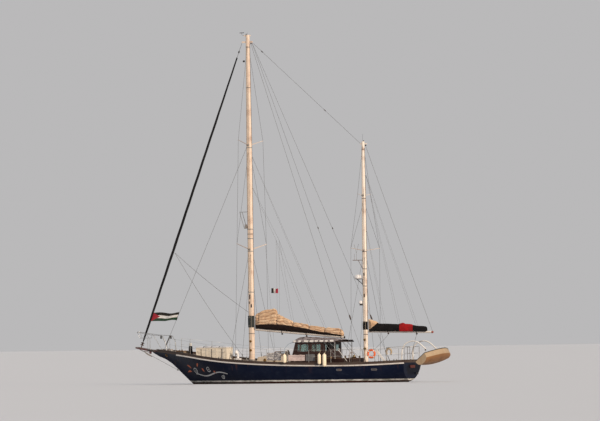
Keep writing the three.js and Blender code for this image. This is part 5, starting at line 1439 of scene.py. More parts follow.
for z, off, high in ((5.34, 0.03, 0.28), (4.98, 0.06, 0.14), (4.78, -0.08, 0.2)):
    wide = mast_half(True, z)[1]
    mast_dark.append(slab(
        (MAIN_X + off - 0.03, wide - 0.03, z - high / 2), (MAIN_X + off + 0.03, wide + 0.03, z + high / 2),
    ))
for z, high in ((6.6, 0.16), (5.3, 0.2)):
    wide = mast_half(False, z)[1]
    mast_dark.append(slab(
        (MIZZEN_X - 0.05, wide - 0.03, z - high / 2), (MIZZEN_X + 0.02, wide + 0.025, z + high / 2),
    ))
make("mast_winches", mast_gear, bronze)
make("mast_fittings", mast_dark, iron_black, bevel=0.01)
roots = []
for main, level in ((True, 8.26), (True, 14.69), (False, 8.04), (False, 11.4)):
    x = MAIN_X if main else MIZZEN_X
    wide = mast_half(main, level)[1]
    for side in (1, -1):
        roots.append(slab(
            (x - 0.07, side * (wide - 0.01), level - 0.04), (x + 0.07, side * (wide + 0.11), level + 0.045),
            Matrix.Rotation(side * 0.17, 3, "X"), (x, side * wide, level),
        ))
make("spreader_roots", roots, galvanised, bevel=0.008)
boots = [
    mast_ring(main, below(deck_surface, x, 0).z - 0.005, proud, high)
    for main, x, proud, high in ((True, 2.25, 0.03, 0.07), (False, -5.7, 0.028, 0.06))
]
make("mast_boots", boots, galvanised)
head = [
    tube([(MAIN_X, 0.05, 21.45), (MAIN_X, 0.05, 21.62)], 0.006),
    turned([(0.03, 0), (0.035, 0.02), (0.03, 0.07), (0.01, 0.085)], (MAIN_X + 0.1, 0, 21.47), 20),
    tube([(MAIN_X + 0.2, 0, 21.43), (MAIN_X + 0.42, 0, 21.5), (MAIN_X + 0.42, 0, 21.62)], 0.008),
    slab((MAIN_X + 0.25, -0.003, 21.6), (MAIN_X + 0.56, 0.003, 21.64)),
    tube([(MIZZEN_X, 0.04, 14.68), (MIZZEN_X, 0.04, 15.15)], 0.005),
    turned([(0.028, 0), (0.032, 0.02), (0.028, 0.06), (0.01, 0.075)], (MIZZEN_X - 0.05, 0, 14.695), 20),
]
make("masthead_gear", head, iron_black)


def pulley(at, way, size=0.07):
    """A shell block: two cheeks round a sheave, with a strap."""
    way = Vector(way).normalized()
    cheeks = []
    for off in (-0.28, 0.28):
        cheeks.append(turned(
            [(size * 0.2, -0.004), (size * 0.62, -0.002), (size * 0.62, 0.004), (size * 0.2, 0.006)],
            Vector(at) + Vector((0, off * size, 0)), 18, (0, 1, 0),
        ))
    return cheeks + [
        turned([(size * 0.5, -size * 0.25), (size * 0.45, 0), (size * 0.5, size * 0.25)], at, 18, (0, 1, 0)),
        tube([Vector(at) - way * size * 0.3, Vector(at) + way * size * 1.1], 0.006),
    ]


mast_blocks = pulley((2.32, 0, 19.86), (-0.6, 0, 0.4), 0.1)
for at in ((1.798, 0, 20.94), (-6.057, 0, 14.46)):
    mast_blocks += pulley(at, (0.2, 0, 0.5))
make("mast_blocks", mast_blocks, iron_black)

# Mainsail and mizzen, flaked on their booms. The buff mainsail is bundled in long folds over an opened dark
# cover; the mizzen lies in its black cover with a red panel sewn in. Canvas collars close both at the mast.
MAIN_BOOM, MIZZEN_BOOM = "main_boom_assembly", "mizzen_boom_assembly"
BOOMS = {"main": (1.73, 3.335, -4.4, 2.77), "mizzen": (-6.11, 3.105, -10.42, 3.01)}


def boom_z(which, x):
    root, root_z, end, end_z = BOOMS[which]
    return root_z + (x - root) / (end - root) * (end_z - root_z)


def swing_room(pin_x, x):
    """Half the width that stays 18 mm clear of the mast when the boom swings out by 60 degrees."""
    return (0.018 + 0.5 * (pin_x - x)) / 0.866


def row_at(rows, x):
    """A row's numbers at x, from rows that run aft."""
    places = [-r[0] for r in rows]
    return [between(-x, places, [r[k] for r in rows]) for k in range(1, len(rows[0]))]


MAIN_SAIL = [
    (1.77, 0.15, 0.83, 0.045), (1.69, 0.15, 0.9, 0.11), (1.56, 0.17, 1.06, 0.17), (1.2, 0.2, 1.18, 0.2),
    (0.95, 0.22, 1.26, 0.21), (0.6, 0.24, 1.33, 0.2), (0.43, 0.25, 1.39, 0.19), (0.25, 0.25, 1.3, 0.19),
    (0.16, 0.25, 1.06, 0.19), (-0.2, 0.26, 0.9, 0.185), (-0.6, 0.25, 0.78, 0.18), (-0.85, 0.25, 0.66, 0.18),
    (-1.55, 0.19, 0.6, 0.17), (-2.1, 0.15, 0.55, 0.165), (-2.73, 0.11, 0.49, 0.16), (-3.5, 0.08, 0.5, 0.15),
    (-4.12, 0.07, 0.49, 0.13), (-4.3, 0.075, 0.4, 0.11), (-4.36, 0.08, 0.28, 0.07),
]
MAIN_COVER = [
    (1.7, 0.04, 0.25, 0.12), (1.3, 0.055, 0.32, 0.165), (0.5, 0.065, 0.4, 0.18), (-0.65, 0.065, 0.42, 0.17),
    (-1.5, 0.06, 0.35, 0.15), (-3.05, 0.05, 0.19, 0.12), (-4.25, 0.05, 0.13, 0.11),
]
cover_cloth = woven(
    "cover_canvas", (0.011, 0.0065, 0.006), (0.028, 0.018, 0.016), 0.35, 0.8, slot="black_canvas",
)[0]
OPEN_COVER = {
    "share": [0, 0.08, 0.17, 0.27, 0.45, 0.66, 0.84, 0.94, 1.0],
    "width": [0, 0.45, 0.6, 0.7, 1.0, 1.1, 1.09, 1.06, 1.04],
    "level": [0, 0, 0, 0, 0.22, 0.5, 0.77, 0.91, 1.0],
}
CLOSED_COVER = {
    "share": OPEN_COVER["share"],
    "width": [0, 0.5, 0.72, 0.84, 1.03, 1.05, 0.8, 0.42, 0.0],
    "level": [0, 0, 0, 0, 0.22, 0.55, 0.86, 0.97, 1.0],
}
MAIN_PIN_X, MIZZEN_PIN_X = 1.798, -6.057
SAIL_TIES = (1.5, 0.2, -0.9, -2.0, -3.1, -4.15)
sail_cloth, sail_tree, sail_weave = woven(
    "sailcloth", None, (0.3, 0.16, 0.09), 0.3, 0.8, 0.03, 220.0, 0.012, slot="sailcloth",
)
long_noise = ramp_of(noise_of(sail_tree, 1.6, 5.0, (1, 1, 5)), 0.38, 0.66)
sail_tone = blend_of(long_noise, (0.6, 0.4, 0.25), (0.74, 0.55, 0.38))
streaks = ramp_of(noise_of(sail_tree, 2.2, 5.0, (0.5, 1, 7)), 0.6, 0.72)
sail_tone = blend_of(streaks, sail_tone, (0.42, 0.26, 0.19))
# Painted shade: the sail darkens towards deep brown at the bottom of each fold, read from the "fold"
# attribute.
fold_shade = put(sail_tree, "ShaderNodeAttribute", attribute_name="fold").outputs["Fac"]
fold_shade = times(ramp_of(fold_shade, 0.25, 0.95), 0.75)
feed(sail_weave.inputs["Colour"], blend_of(fold_shade, sail_tone, (0.2, 0.105, 0.07)))
sail_rows, sail_fold_shade = [], []
for i in range(181):
    x = 1.77 - 6.13 * i / 180
    foot, crown, half = row_at(MAIN_SAIL, x)
    cover_foot, cover_top, cover_half = row_at(MAIN_COVER, x)
    base = boom_z("main", x)
    snug = 1 - 0.16 * exp(-(min(abs(x - tie) for tie in SAIL_TIES) / 0.06) ** 2)
    count = max(2.4, (crown - foot) / 0.19)
    loose = 0.3 + 0.7 * min(1, (crown - foot) / 0.6)
    row, depth = [], []
    for j in range(81):
        angle = -pi / 2 + pi * j / 80
        side = sin(angle)
        share = cos(angle) ** 1.15
        y = half * (0.78 + 0.24 * sin(pi * min(1.0, share * 1.5)))
        y *= copysign(max(0.0, 1 - share ** 3.2) ** 0.5, side)
        z = foot + (crown - foot) * share
        wander = waver(x * 0.9, side * 2, 7.7) * 1.5 + waver(x * 2.6, side, 3.1) * 0.5
        crease = abs(((share * count + wander + 0.35 * x) % 1.0) * 2 - 1) ** 0.55
        lump = waver(x * 2.1, share * 3 + side, 1.2) * 0.06 + waver(x * 6.5, share * 5, side * 3) * 0.022
        push = ((crease - 0.66) * 0.085 + lump) * loose
        out = Vector((0, side, 0.35 + share * 0.65)).normalized() * push
        lift = 1 if share < 0.5 else 1 - (1 - snug) * 0.5
        y, z = (y + out.y) * snug, (z + out.z * (0.4 + 0.6 * share)) * lift
        inside = (z - cover_foot) / (cover_top - cover_foot)
        if inside < 1.0:
            room = cover_half * between(inside, OPEN_COVER["level"], OPEN_COVER["width"]) - 0.028
            y = copysign(min(abs(y), room), y)
        room = swing_room(MAIN_PIN_X, x)
        row.append((x, max(-room, min(room, y)), base + z))
        # How deep the point lies in its fold, kept for the painted fold shade.
        depth.append(1 - crease)
    sail_rows.append(row)
    sail_fold_shade.append(depth)
main_sail = make(
    "furled_mainsail", [skin(sail_rows)], sail_cloth, MAIN_BOOM, crisp=180, replaces=["main_sail"],
)
# The "fold" attribute carries painted shade: 1 at the bottom of a fold, 0 on its crest.
fold_shade_layer = main_sail.data.attributes.new("fold", "FLOAT", "POINT")
fold_shade_layer.data.foreach_set("value", [value for depth in sail_fold_shade for value in depth])
ends = []
for row in (sail_rows[0], sail_rows[-1]):
    middle = (row[0][0], 0, sum(p[2] for p in row) / len(row))
    tucked = []
    for p in row:
        x, y, z = (middle[k] + (p[k] - middle[k]) * 0.5 for k in range(3))
        tucked.append((x - 0.015 * abs(waver(*Vector(p) * 9)), y, z))
    ends.append(skin([row, tucked, [middle] * len(row)]))
make("furled_mainsail_ends", ends, sail_cloth, MAIN_BOOM, crisp=180)
tie_rows = []
for tie in SAIL_TIES:
    loop = [Vector(p) for p in min(sail_rows, key=lambda row: abs(row[0][0] - tie))]
    middle = sum(loop, Vector()) / len(loop)
    loop = [middle + (p - middle) * 1.03 for p in loop[2:-2]]
    tie_rows.append(skin([[p + Vector((d, 0, 0)) for p in loop] for d in (-0.02, 0.02)]))
make("mainsail_ties", tie_rows, strap_web, MAIN_BOOM, crisp=180)


def boom_cover(which, spec, count, steps, closed, seed):
    """Canvas that sits on a boom: it lies over the spar, comes down on its shoulders, bellies out at both
    sides and ends in a free edge or, if closed, meets over the sail."""
    form = CLOSED_COVER if closed else OPEN_COVER
    spar = 0.09 if which == "main" else 0.076
    rows = []
    first, last = spec[0][0], spec[-1][0]
    for i in range(count + 1):
        x = first + (last - first) * i / count
        foot, top, half = row_at(spec, x)
        base = boom_z(which, x)
        row = []
        for j in range(steps + 1):
            t = -1 + 2 * j / steps
            share = abs(t)
            y = half * between(share, form["share"], form["width"])
            z = foot + (top - foot) * between(share, form["share"], form["level"])
            if y < spar:
                z = max(z, (spar ** 2 - y ** 2) ** 0.5)
            pleat = (waver(x * 2.6, share * 2.2, seed) + 0.25) * 0.03
            pleat += abs(waver(x * 7 + share * 3, share * 1.5, seed + 3)) * 0.018
            pleat *= max(0.0, min(1.0, (share - 0.2) * 4))
            top_lift = 0.5 if closed and share > 0.8 else 0.1
            y += pleat
            if closed:
                y = min(y, swing_room(MIZZEN_PIN_X, x) - 0.012)
            row.append((
                x, copysign(max(y, 0), t) if share > 0.01 and (share < 0.99 or not closed) else 0,
                base + z + pleat * top_lift,
            ))
        rows.append(row)
    return rows


main_cover_rows = boom_cover("main", MAIN_COVER, 120, 32, False, 2.0)
main_cover = make(
    "mainsail_cover", [skin(main_cover_rows)], cover_cloth, MAIN_BOOM, crisp=180,
    replaces=["main_sail_cover"],
)
hems, hooks = [], []
for edge in (0, 32):
    hems.append(tube([Vector(row[edge]) + Vector((0, 0, 0.002)) for row in main_cover_rows[::4]], 0.007, 6))
for row in main_cover_rows[3:-3:6]:
    for j in (11, 21):
        hooks.append(turned(
            [(0.012, -0.004), (0.014, 0.004), (0.005, 0.008)], row[j], 10, (0, 1 if j > 16 else -1, 0),
        ))
make("mainsail_cover_hems", hems, strap_web, MAIN_BOOM)
make("mainsail_cover_hooks", hooks, bronze, MAIN_BOOM)
MIZZEN_COVER = [
    (-6.1, -0.07, 0.54, 0.115), (-6.25, -0.02, 0.5, 0.135), (-6.4, 0.02, 0.49, 0.14),
    (-7.0, 0.015, 0.48, 0.15), (-8.1, 0.015, 0.46, 0.145), (-8.3, 0.015, 0.52, 0.145),
    (-8.45, 0.015, 0.55, 0.145), (-8.6, 0.015, 0.48, 0.14), (-9.0, 0.015, 0.47, 0.135),
    (-9.14, 0.015, 0.42, 0.13), (-9.3, 0.015, 0.38, 0.125), (-10.0, 0.02, 0.34, 0.11),
    (-10.05, 0.03, 0.28, 0.09),
]
mizzen_cloth, mizzen_tree, mizzen_weave = woven(
    "mizzen_cover_canvas", None, (0.02, 0.017, 0.017), 0.3, 0.8, slot="black_canvas",
)
along = axes_of(place_of(mizzen_tree))["X"]
on_red = times(sum_of("LESS_THAN", along, -8.26), sum_of("GREATER_THAN", along, -9.16))
feed(mizzen_weave.inputs["Colour"], blend_of(on_red, (0.005, 0.005, 0.0065), (0.34, 0.01, 0.013)))
mizzen_rows = boom_cover("mizzen", MIZZEN_COVER, 110, 44, True, 5.0)
mizzen_cover = make(
    "mizzen_cover", [skin(mizzen_rows)], mizzen_cloth, MIZZEN_BOOM, crisp=180,
    replaces=["mizzen_sail_cover"],
)
bight = []
for i in range(31):
    share = i / 30
    x = -6.09 - 0.62 * share
    foot, top, half = row_at(MIZZEN_COVER, min(x, -6.1))
    rise = 0.17 * sin(pi * min(1, 0.3 + share * 0.7)) ** 1.2
    hang = 0.5 * sin(pi * min(1, 0.4 + share * 0.55)) + 0.06
    row = []
    for j in range(41):
        t = -1 + 2 * j / 40
        at = 1 - abs(t) * hang
        y = half * between(at, CLOSED_COVER["share"], CLOSED_COVER["width"])
        level = between(at, CLOSED_COVER["share"], CLOSED_COVER["level"])
        fold = 0.018 * sin(8 * t + 11 * share) + 0.035 * waver(x * 6, t * 3, 3)
        y = (y * 1.12 + 0.022 * min(1, 6 * abs(t)) + abs(fold)) * (1 if t > 0 else -1)
        z = foot + (top - foot) * level + 0.05 + rise * level ** 2 + fold * 0.7
        room = swing_room(MIZZEN_PIN_X, x)
        row.append((x, max(-room, min(room, y)), boom_z("mizzen", x) + z))
    bight.append(row)
make("mizzen_sail_bight", [skin(bight)], sail_cloth, MIZZEN_BOOM, crisp=180)
collar_green = woven("collar_canvas", (0.03, 0.036, 0.038), (0.05, 0.05, 0.045), 0.4, slot="black_canvas")[0]


def mast_collar(main, low, high, proud, seed):
    rows = []
    x = MAIN_X if main else MIZZEN_X
    for i in range(25):
        z = low + (high - low) * i / 24
        deep, wide = mast_half(main, z)
        pinch = 1 - 0.5 * exp(-((i - 3) / 1.2) ** 2) - 0.5 * exp(-((i - 21) / 1.2) ** 2)
        row = []
        for a in np.linspace(0, 2 * pi, 41):
            off = 0.008 + (proud * pinch + 0.006 * sin(7 * a + z * 3 + seed)) * (0.5 + 0.5 * cos(a)) ** 0.7
            row.append((x + (deep + off) * cos(a), (wide + off) * sin(a), z))
        rows.append(row)
    return skin(rows)


make("main_collar", [mast_collar(True, 3.46, 4.17, 0.03, 0.0)], collar_green, crisp=180)
make("mizzen_collar", [mast_collar(False, 3.22, 3.71, 0.025, 2.0)], black_canvas, crisp=180)
main_cap = turned([(0.078, 0), (0.08, 0.03), (0.06, 0.05)], (-4.395, 0, 2.77), 24, (-1, 0, -0.09))
for which, places, drop, r, slope, more in (
    ("main", (-0.1, -1.8, -4.2), 0.14, 0.088, 0.09, [main_cap]),
    ("mizzen", (-7.43, -9.37), 0.12, 0.073, 0.02, []),
):
    gear = []
    for x in places:
        z = boom_z(which, x)
        gear += pulley((x, 0, z - drop), (0, 0, 1), 0.08)
        gear.append(turned([(r, -0.02), (r, 0.02)], (x, 0, z), 24, (1, 0, slope)))
    make(f"{which}_boom_fittings", gear + more, iron_black, f"{which}_boom_assembly")
make("mizzen_boom_cap", [turned([
    (0.064, -0.02), (0.07, 0.0), (0.068, 0.05), (0.045, 0.085), (0.01, 0.09),
], (-10.415, 0, 3.01), 24, (-1, 0, -0.02))], red_lead, MIZZEN_BOOM)

# Standing rigging: galvanised wire, served and greased, set up on chainplates. The black genoa is rolled on
# its forestay foil, between the furler's drum at its foot and a swivel at its head.
rig_wire = painted(
    "rig_wire", (0.065, 0.06, 0.055), 0.5, 0.5, 0.2, (0.05, 0.03, 0.02), metallic=0.4,
    slot="stainless_steel",
)
for name in (
    "main_shrouds_port", "main_shrouds_starboard", "mizzen_shrouds_port", "mizzen_shrouds_starboard",
    "main_backstays", "triatic_stay", "inner_forestay",
):
    smooth_node(name, rig_wire, 80)
STAY_FOOT, STAY_HEAD = Vector((9.855, 0, 2.29)), Vector((2.42, 0, 21.03))
stay_way = (STAY_HEAD - STAY_FOOT).normalized()
stay_length = (STAY_HEAD - STAY_FOOT).length
genoa_rows = []
stay_side = Vector((0, 1, 0))
stay_fore = stay_side.cross(stay_way)
for i in range(241):
    d = 0.42 + (stay_length - 1.0 - 0.42) * i / 240
    share = i / 240
    r = between(share, [0, 0.01, 0.05, 0.35, 0.75, 1.0], [0.03, 0.055, 0.068, 0.084, 0.07, 0.045])
    row = []
    for a in around(20):
        roll = 0.10 * abs(sin(a / 2 + d * 1.9)) + 0.05 * waver(d * 1.5, cos(a), sin(a))
        row.append(STAY_FOOT + stay_way * d + (stay_fore * cos(a) + stay_side * sin(a)) * r * (0.9 + roll))
    genoa_rows.append(row)
genoa = make("furled_genoa", [skin(genoa_rows, True)], black_canvas, crisp=180, replaces=["furled_headsail"])
drum = [turned([
    (0.1, 0.0), (0.12, 0.005), (0.12, 0.018), (0.06, 0.022), (0.06, 0.13), (0.12, 0.134), (0.12, 0.147),
    (0.05, 0.155), (0.03, 0.23),
], STAY_FOOT + stay_way * 0.17, 32, stay_way)]
drum += [
    tube([STAY_FOOT + stay_way * 0.03, STAY_HEAD], 0.01, 8),
    turned(
        [(0.022, 0), (0.03, 0.02), (0.03, 0.12), (0.02, 0.15)], STAY_FOOT + stay_way * 0.02, 16, stay_way,
    ),
    turned(
        [(0.03, 0), (0.045, 0.01), (0.045, 0.12), (0.03, 0.14)], STAY_HEAD - stay_way * 0.7, 20, stay_way,
    ),
]
make("furler_gear", drum, iron_black)

# Running rigging. Sheets, topping lifts, lazy jacks and flag halyards are laid rope, stretched between their
# blocks; sheets and preventer run to their boom but ride on no body. Insulators and adjusters on the stays
# come last.
rope_grey = woven("rope_grey", (0.09, 0.085, 0.08), (0.04, 0.035, 0.03), threads=500.0)[0]


def taut(a, b, radius, sag=0.0):
    """A rope between two points that sags a little in the middle."""
    a, b = Vector(a), Vector(b)
    points = [a.lerp(b, k / 24) - Vector((0, 0, sag * 4 * (k / 24) * (1 - k / 24))) for k in range(25)]
    return tube(points, radius, 6)


def to_boom(name, a, b, radius, sag):
    """A rope from a fixed point to a point on a boom, left loose on no body with its place baked in."""
    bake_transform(make(name, [taut(a, b, radius, sag)], rope_grey, loose=True))


# Lifts and lazy jacks hang from swivels over a boom's pin, so they turn with the boom and stay straight.
# One jack of the main boom parts into three legs on each side, at the fork. Each path is the port one.
FORK = (0.13, 0.2, 8.8)
HANGING = {
    "main": (MAIN_PIN_X, (20.885, -4.38, 2.9), [
        [(MAIN_PIN_X, 0.02, 13.9), (-3.2, 0.14, 3.15)], [(MAIN_PIN_X, 0.02, 12.0), FORK, (-2.1, 0.14, 3.3)],
        [FORK, (-0.9, 0.14, 3.5)], [FORK, (0.15, 0.14, 4.05)],
    ]),
    "mizzen": (MIZZEN_PIN_X, (14.405, -10.44, 3.08), [
        [(MIZZEN_PIN_X, 0.02, 9.2), (-7.2, 0.14, 3.45)], [(MIZZEN_PIN_X, 0.02, 12.6), (-8.2, 0.14, 3.45)],
        [(MIZZEN_PIN_X, 0.02, 12.6), (-9.4, 0.14, 3.36)],
    ]),
}
swivels = []
for which, (pin_x, (head, x, z), paths) in HANGING.items():
    body = f"{which}_boom_assembly"
    make(f"{which}_topping_lift", [taut((pin_x, 0, head), (x, 0, z), 0.0075, 0.03)], rope_grey, body)
    ropes = [taut(a, b, 0.004, 0.03) for path in paths for a, b in zip(path, path[1:])]
    make(f"{which}_lazy_jacks", both(*ropes), rope_grey, body)
    for head in sorted({path[0][2] for path in paths if path[0] != FORK}):
        face = (MAIN_X if which == "main" else MIZZEN_X) - mast_half(which == "main", head)[0]
        swivels.append(slab((pin_x - 0.016, -0.036, head + 0.008), (face + 0.02, 0.036, head + 0.02)))
make("lazy_jack_swivels", swivels, galvanised, bevel=0.002)
to_boom("main_sheet", (-5.41, 0, 1.51), (-4.22, 0, 2.58), 0.009, 0.0)
to_boom("mizzen_sheet", (-8.95, 0.12, 1.42), (-9.35, 0, 2.84), 0.009, 0.0)
to_boom("mizzen_preventer", (-7.0, 1.28, 1.9), (-7.43, 0, 2.9), 0.008, 0.03)
CLEW = (7.37, 0.0, 8.14)
genoa_sheets = [taut(CLEW, on_rail(1.24, 1, 0.02), 0.008, 0.25), taut(CLEW, (2.235, 0.02, 4.4), 0.008, 0.12)]
make("genoa_sheets", genoa_sheets, rope_grey)
make("flag_halyard", [taut((1.95, -1.78, 8.53), on_rail(1.55, -1, 0.02), 0.004)], rope_grey)
backstay_ends = []
for side in (1, -1):
    foot = Vector((-6.75, side * (between(-6.75, rail_x, rail_y) - 0.11), 1.16))
    way = (Vector((1.74, 0, 21.0)) - foot).normalized()
    backstay_ends.append(turned([
        (0.015, 0), (0.04, 0.04), (0.045, 0.2), (0.03, 0.32), (0.012, 0.36),
    ], foot + way * 2.9, 14, way))
    backstay_ends.append(turned([
        (0.012, 0), (0.03, 0.02), (0.03, 0.1), (0.012, 0.12),
    ], foot + way * 9.0, 14, way))
for d, wide in ((0.9, 0.03), (6.6, 0.025)):
    backstay_ends.append(turned(
        [(0.012, 0), (wide, 0.03), (wide, 0.14), (0.012, 0.17)],
        Vector((1.78, 0, 21.06)).lerp(Vector((-5.72, 0, 14.56)), d / 9.92), 14, (-7.5, 0, -6.5),
    ))
make("stay_insulators", backstay_ends, iron_black)

# Flags: bunting on the forestay in black, white and green with a red hoist, and a small tricolour on the
# starboard halyard.
def bunting(name, stripes, across_x, hoist=None):
    """Cloth in stripes of colour. The stripes divide a range along X or Z; hoist is the triangle's colour."""
    material, tree, group = woven(
        name, None, (0.1, 0.09, 0.08), 0.08, 0.8, 0.05, 420.0, 0.004, slot="flag_cloth",
    )
    along, down, _ = axes_of(put(tree, "ShaderNodeUVMap").outputs["UV"])
    level = along if across_x else down
    tone = blend_of(sum_of("GREATER_THAN", level, 1 / 3), stripes[0], stripes[1])
    tone = blend_of(sum_of("GREATER_THAN", level, 2 / 3), tone, stripes[2])
    if hoist:
        off = sum_of("ABSOLUTE", sum_of("SUBTRACT", down, 0.5), 0.0)
        reach = sum_of("SUBTRACT", 0.3, times(off, 0.6))
        tone = blend_of(sum_of("LESS_THAN", along, reach), tone, hoist)
    feed(group.inputs["Colour"], tone)
    return material


def flag(name, corners, wave, count, material, replaces=()):
    """A flag from its four corners: hoist top, hoist foot, fly top, fly foot."""
    top, foot, fly_top, fly_foot = (Vector(c) for c in corners)
    nx, nz = count
    rows, shares = [], []
    for i in range(nx + 1):
        u = i / nx
        row = []
        for j in range(nz + 1):
            v = j / nz
            p = top.lerp(foot, v).lerp(fly_top.lerp(fly_foot, v), u)
            p.y += wave * 1.3 * sin(9 * u + 2.2 * v) * min(1, u * 3)
            p.z += wave * (sin(6.5 * u + 1.5 * v + 0.5) + 0.9 * v * sin(4.2 * u) ** 3) * min(1, u * 2)
            row.append(p)
            shares.append((u, v))
        rows.append(row)
    piece = make(name, [skin(rows)], material, crisp=180, replaces=replaces)
    layer = piece.data.uv_layers.new(name="cut")
    for loop in piece.data.loops:
        layer.data[loop.index].uv = shares[loop.vertex_index]
    return piece


bow_bunting = bunting(
    "bow_bunting", [(0.005, 0.005, 0.006), (0.72, 0.71, 0.7), (0.006, 0.04, 0.02)], False,
    (0.32, 0.012, 0.03),
)
flag(
    "bow_flag_cloth", [(8.92, 0, 4.46), (9.13, 0, 3.93), (7.1, 0, 4.44), (7.33, 0, 3.95)], 0.05, (44, 16),
    bow_bunting, ["bow_flag"],
)
small_bunting = bunting("halyard_bunting", [
    (0.004, 0.005, 0.012), (0.72, 0.71, 0.7), (0.36, 0.01, 0.04),
], True)
halyard_y = -1.82
flag(
    "halyard_flag",
    [(1.59, halyard_y, 5.86), (1.6, halyard_y, 5.56), (1.12, halyard_y, 5.83), (1.14, halyard_y, 5.53)],
    0.02, (24, 12), small_bunting,
)

# Guard rails and what hangs on them: stanchions on flanges, canvas weather cloths laced to the wires, three
# fenders, a life ring, a horseshoe buoy, a boarding plank and a boat hook.
for tag in ("port", "starboard"):
    smooth_node(f"guard_rail_{tag}", stainless, 75)
flange_outline = [(0.036, -0.002), (0.036, 0.008), (0.022, 0.014), (0.02, 0.05), (0.014, 0.055)]
flanges = []
for x in (6.9, 5.6, 4.3, 3.0, 1.2, -0.2, -1.65, -3.1, -4.55, -5.75, -7.3, 7.4, -8.0):
    flanges.append(turned(flange_outline, on_rail(x, 1, 0, -0.022), 18))
make("stanchion_flanges", both(*flanges), galvanised)
cloth_grey, grey_tree, grey_weave = woven(
    "weather_cloth_print", None, (0.16, 0.14, 0.14), 0.35, slot="printed_canvas",
)
cells = put(grey_tree, "ShaderNodeTexVoronoi", Scale=9.0, Vector=place_of(grey_tree)).outputs["Distance"]
cells = blend_of(ramp_of(cells, 0.35, 0.55), (0.55, 0.52, 0.5), (0.2, 0.19, 0.2))
feed(grey_weave.inputs["Colour"], cells)
cloth_pink = woven(
    "weather_cloth_pale", (0.58, 0.47, 0.45), (0.28, 0.2, 0.19), 0.3, slot="printed_canvas",
)[0]
cloth_dark = woven(
    "weather_cloth_dark", (0.13, 0.13, 0.14), (0.06, 0.06, 0.06), 0.3, slot="printed_canvas",
)[0]


def rail_cloth(name, fore, aft, low, high, material, seed, replaces=()):
    nx, nz = max(10, int(abs(fore - aft) * 22)), 12
    rows = []
    for i in range(nx + 1):
        x = fore + (aft - fore) * i / nx
        base = on_rail(x, 1, 0, -0.022)
        droop = 0.025 * abs(sin(pi * (x - fore) / 0.42)) ** 0.7
        row = []
        for j in range(nz + 1):
            v = j / nz
            belly = 0.028 * sin(pi * v) * sin(4.3 * x + seed) + 0.016 * waver(x * 5, v * 2, seed)
            row.append((
                x, base.y - 0.0185 - 0.02 + belly * 0.7,
                high - droop * (1 - v) + (low + droop * 0.5 - high) * v,
            ))
        rows.append(row)
    piece = make(name, [skin(rows)], material, crisp=180, replaces=replaces)


rail_cloth("weather_cloth_fore", -0.22, -1.2, 1.4, 1.9, cloth_grey, 1.0)
rail_cloth("weather_cloth_middle", -1.7, -2.82, 1.36, 1.75, cloth_pink, 2.0, ["weather_cloth_port"])
rail_cloth("weather_cloth_aft", -2.88, -3.5, 1.34, 1.78, cloth_dark, 3.0)
vinyl = painted("fender_vinyl", (0.8, 0.68, 0.51), 0.4, 0.4, 0.4, (0.3, 0.18, 0.1), slot="fender_vinyl")
FENDERS = [(-1.57, 1.24, 1.79, 0.105), (-3.9, 1.13, 1.79, 0.105), (-4.24, 0.99, 1.79, 0.115)]
for n, (x, low, high, r) in enumerate(FENDERS):
    centre = on_rail(x, 1, 0, 0.0275 + 0.022 + 0.045 + r - 0.01)
    tall = high - low
    cap = [(r * sin(radians(a)), r * 0.95 * (1 - cos(radians(a)))) for a in range(25, 91, 13)]
    outline = [(0.02, 0.0), (0.035, 0.012)] + [(wide, z + 0.01) for wide, z in cap]
    outline += [(wide, tall - 0.01 - z) for wide, z in reversed(cap)]
    outline += [(0.035, tall - 0.012), (0.028, tall + 0.02), (0.01, tall + 0.025)]
    wire = on_rail(x, 1, 0.75, -0.022)
    make(
        f"fender_body_{n + 1}", [turned(outline, (centre.x, centre.y, low), 28)], vinyl, crisp=50,
        replaces=[f"fender_{n + 1}"],
    )
    make(f"fender_lanyard_{n + 1}", [
        tube([
            (centre.x, centre.y, high + 0.015),
            (centre.x, (centre.y + wire.y) / 2, (high + wire.z) / 2 - 0.01),
            wire + Vector((0, 0.007, 0.004)),
        ], 0.007),
        ring_tube([wire + Vector((0, 0.012 * cos(a), 0.012 * sin(a))) for a in around(12)], 0.006, 6),
    ], rope_cream)
foam = painted("life_ring_foam", (0.62, 0.1, 0.02), 0.6, 0.35, 0.3, (0.25, 0.08, 0.04), slot="orange_foam")
ring_centre = on_rail(-7.06, 1, 0, -0.093)
ring_centre.z = 1.74
ring_piece = ring_tube([
    ring_centre + Vector((0.225 * cos(a), 0, 0.225 * sin(a))) for a in around(56)
], 0.061, 16)
make("life_ring_body", [ring_piece], foam, replaces=["life_ring"])
band_parts, grab = [], []
for k in range(4):
    a = pi / 4 + k * pi / 2
    middle = ring_centre + Vector((0.225 * cos(a), 0, 0.225 * sin(a)))
    out = Vector((cos(a), 0, sin(a)))
    loop = [
        middle + (out * cos(b) + Vector((0, 1, 0)) * sin(b)) * 0.0625 for b in np.linspace(0, 2 * pi, 20)
    ]
    way = Vector((-sin(a), 0, cos(a)))
    band_parts.append(skin([[p + way * d for p in loop] for d in (-0.03, 0.03)]))
    arc = [
        ring_centre + Vector((cos(a + s), 0, sin(a + s))) * (0.29 + 0.02 * sin(s * 2))
        for s in np.linspace(0, pi / 2, 10)
    ]
    grab.append(tube(arc, 0.006, 8))
make("life_ring_bands", band_parts, white_cloth, crisp=180)
make("life_ring_grab_line", grab, rope_cream)
buoy_y = on_rail(-8.1).y - 0.13
horseshoe = []
for k in range(25):
    a = radians(-50 + 280 * k / 24)
    horseshoe.append(Vector((-8.1 + 0.17 * cos(a), buoy_y, 1.84 + 0.2 * sin(a))))
lashings = []
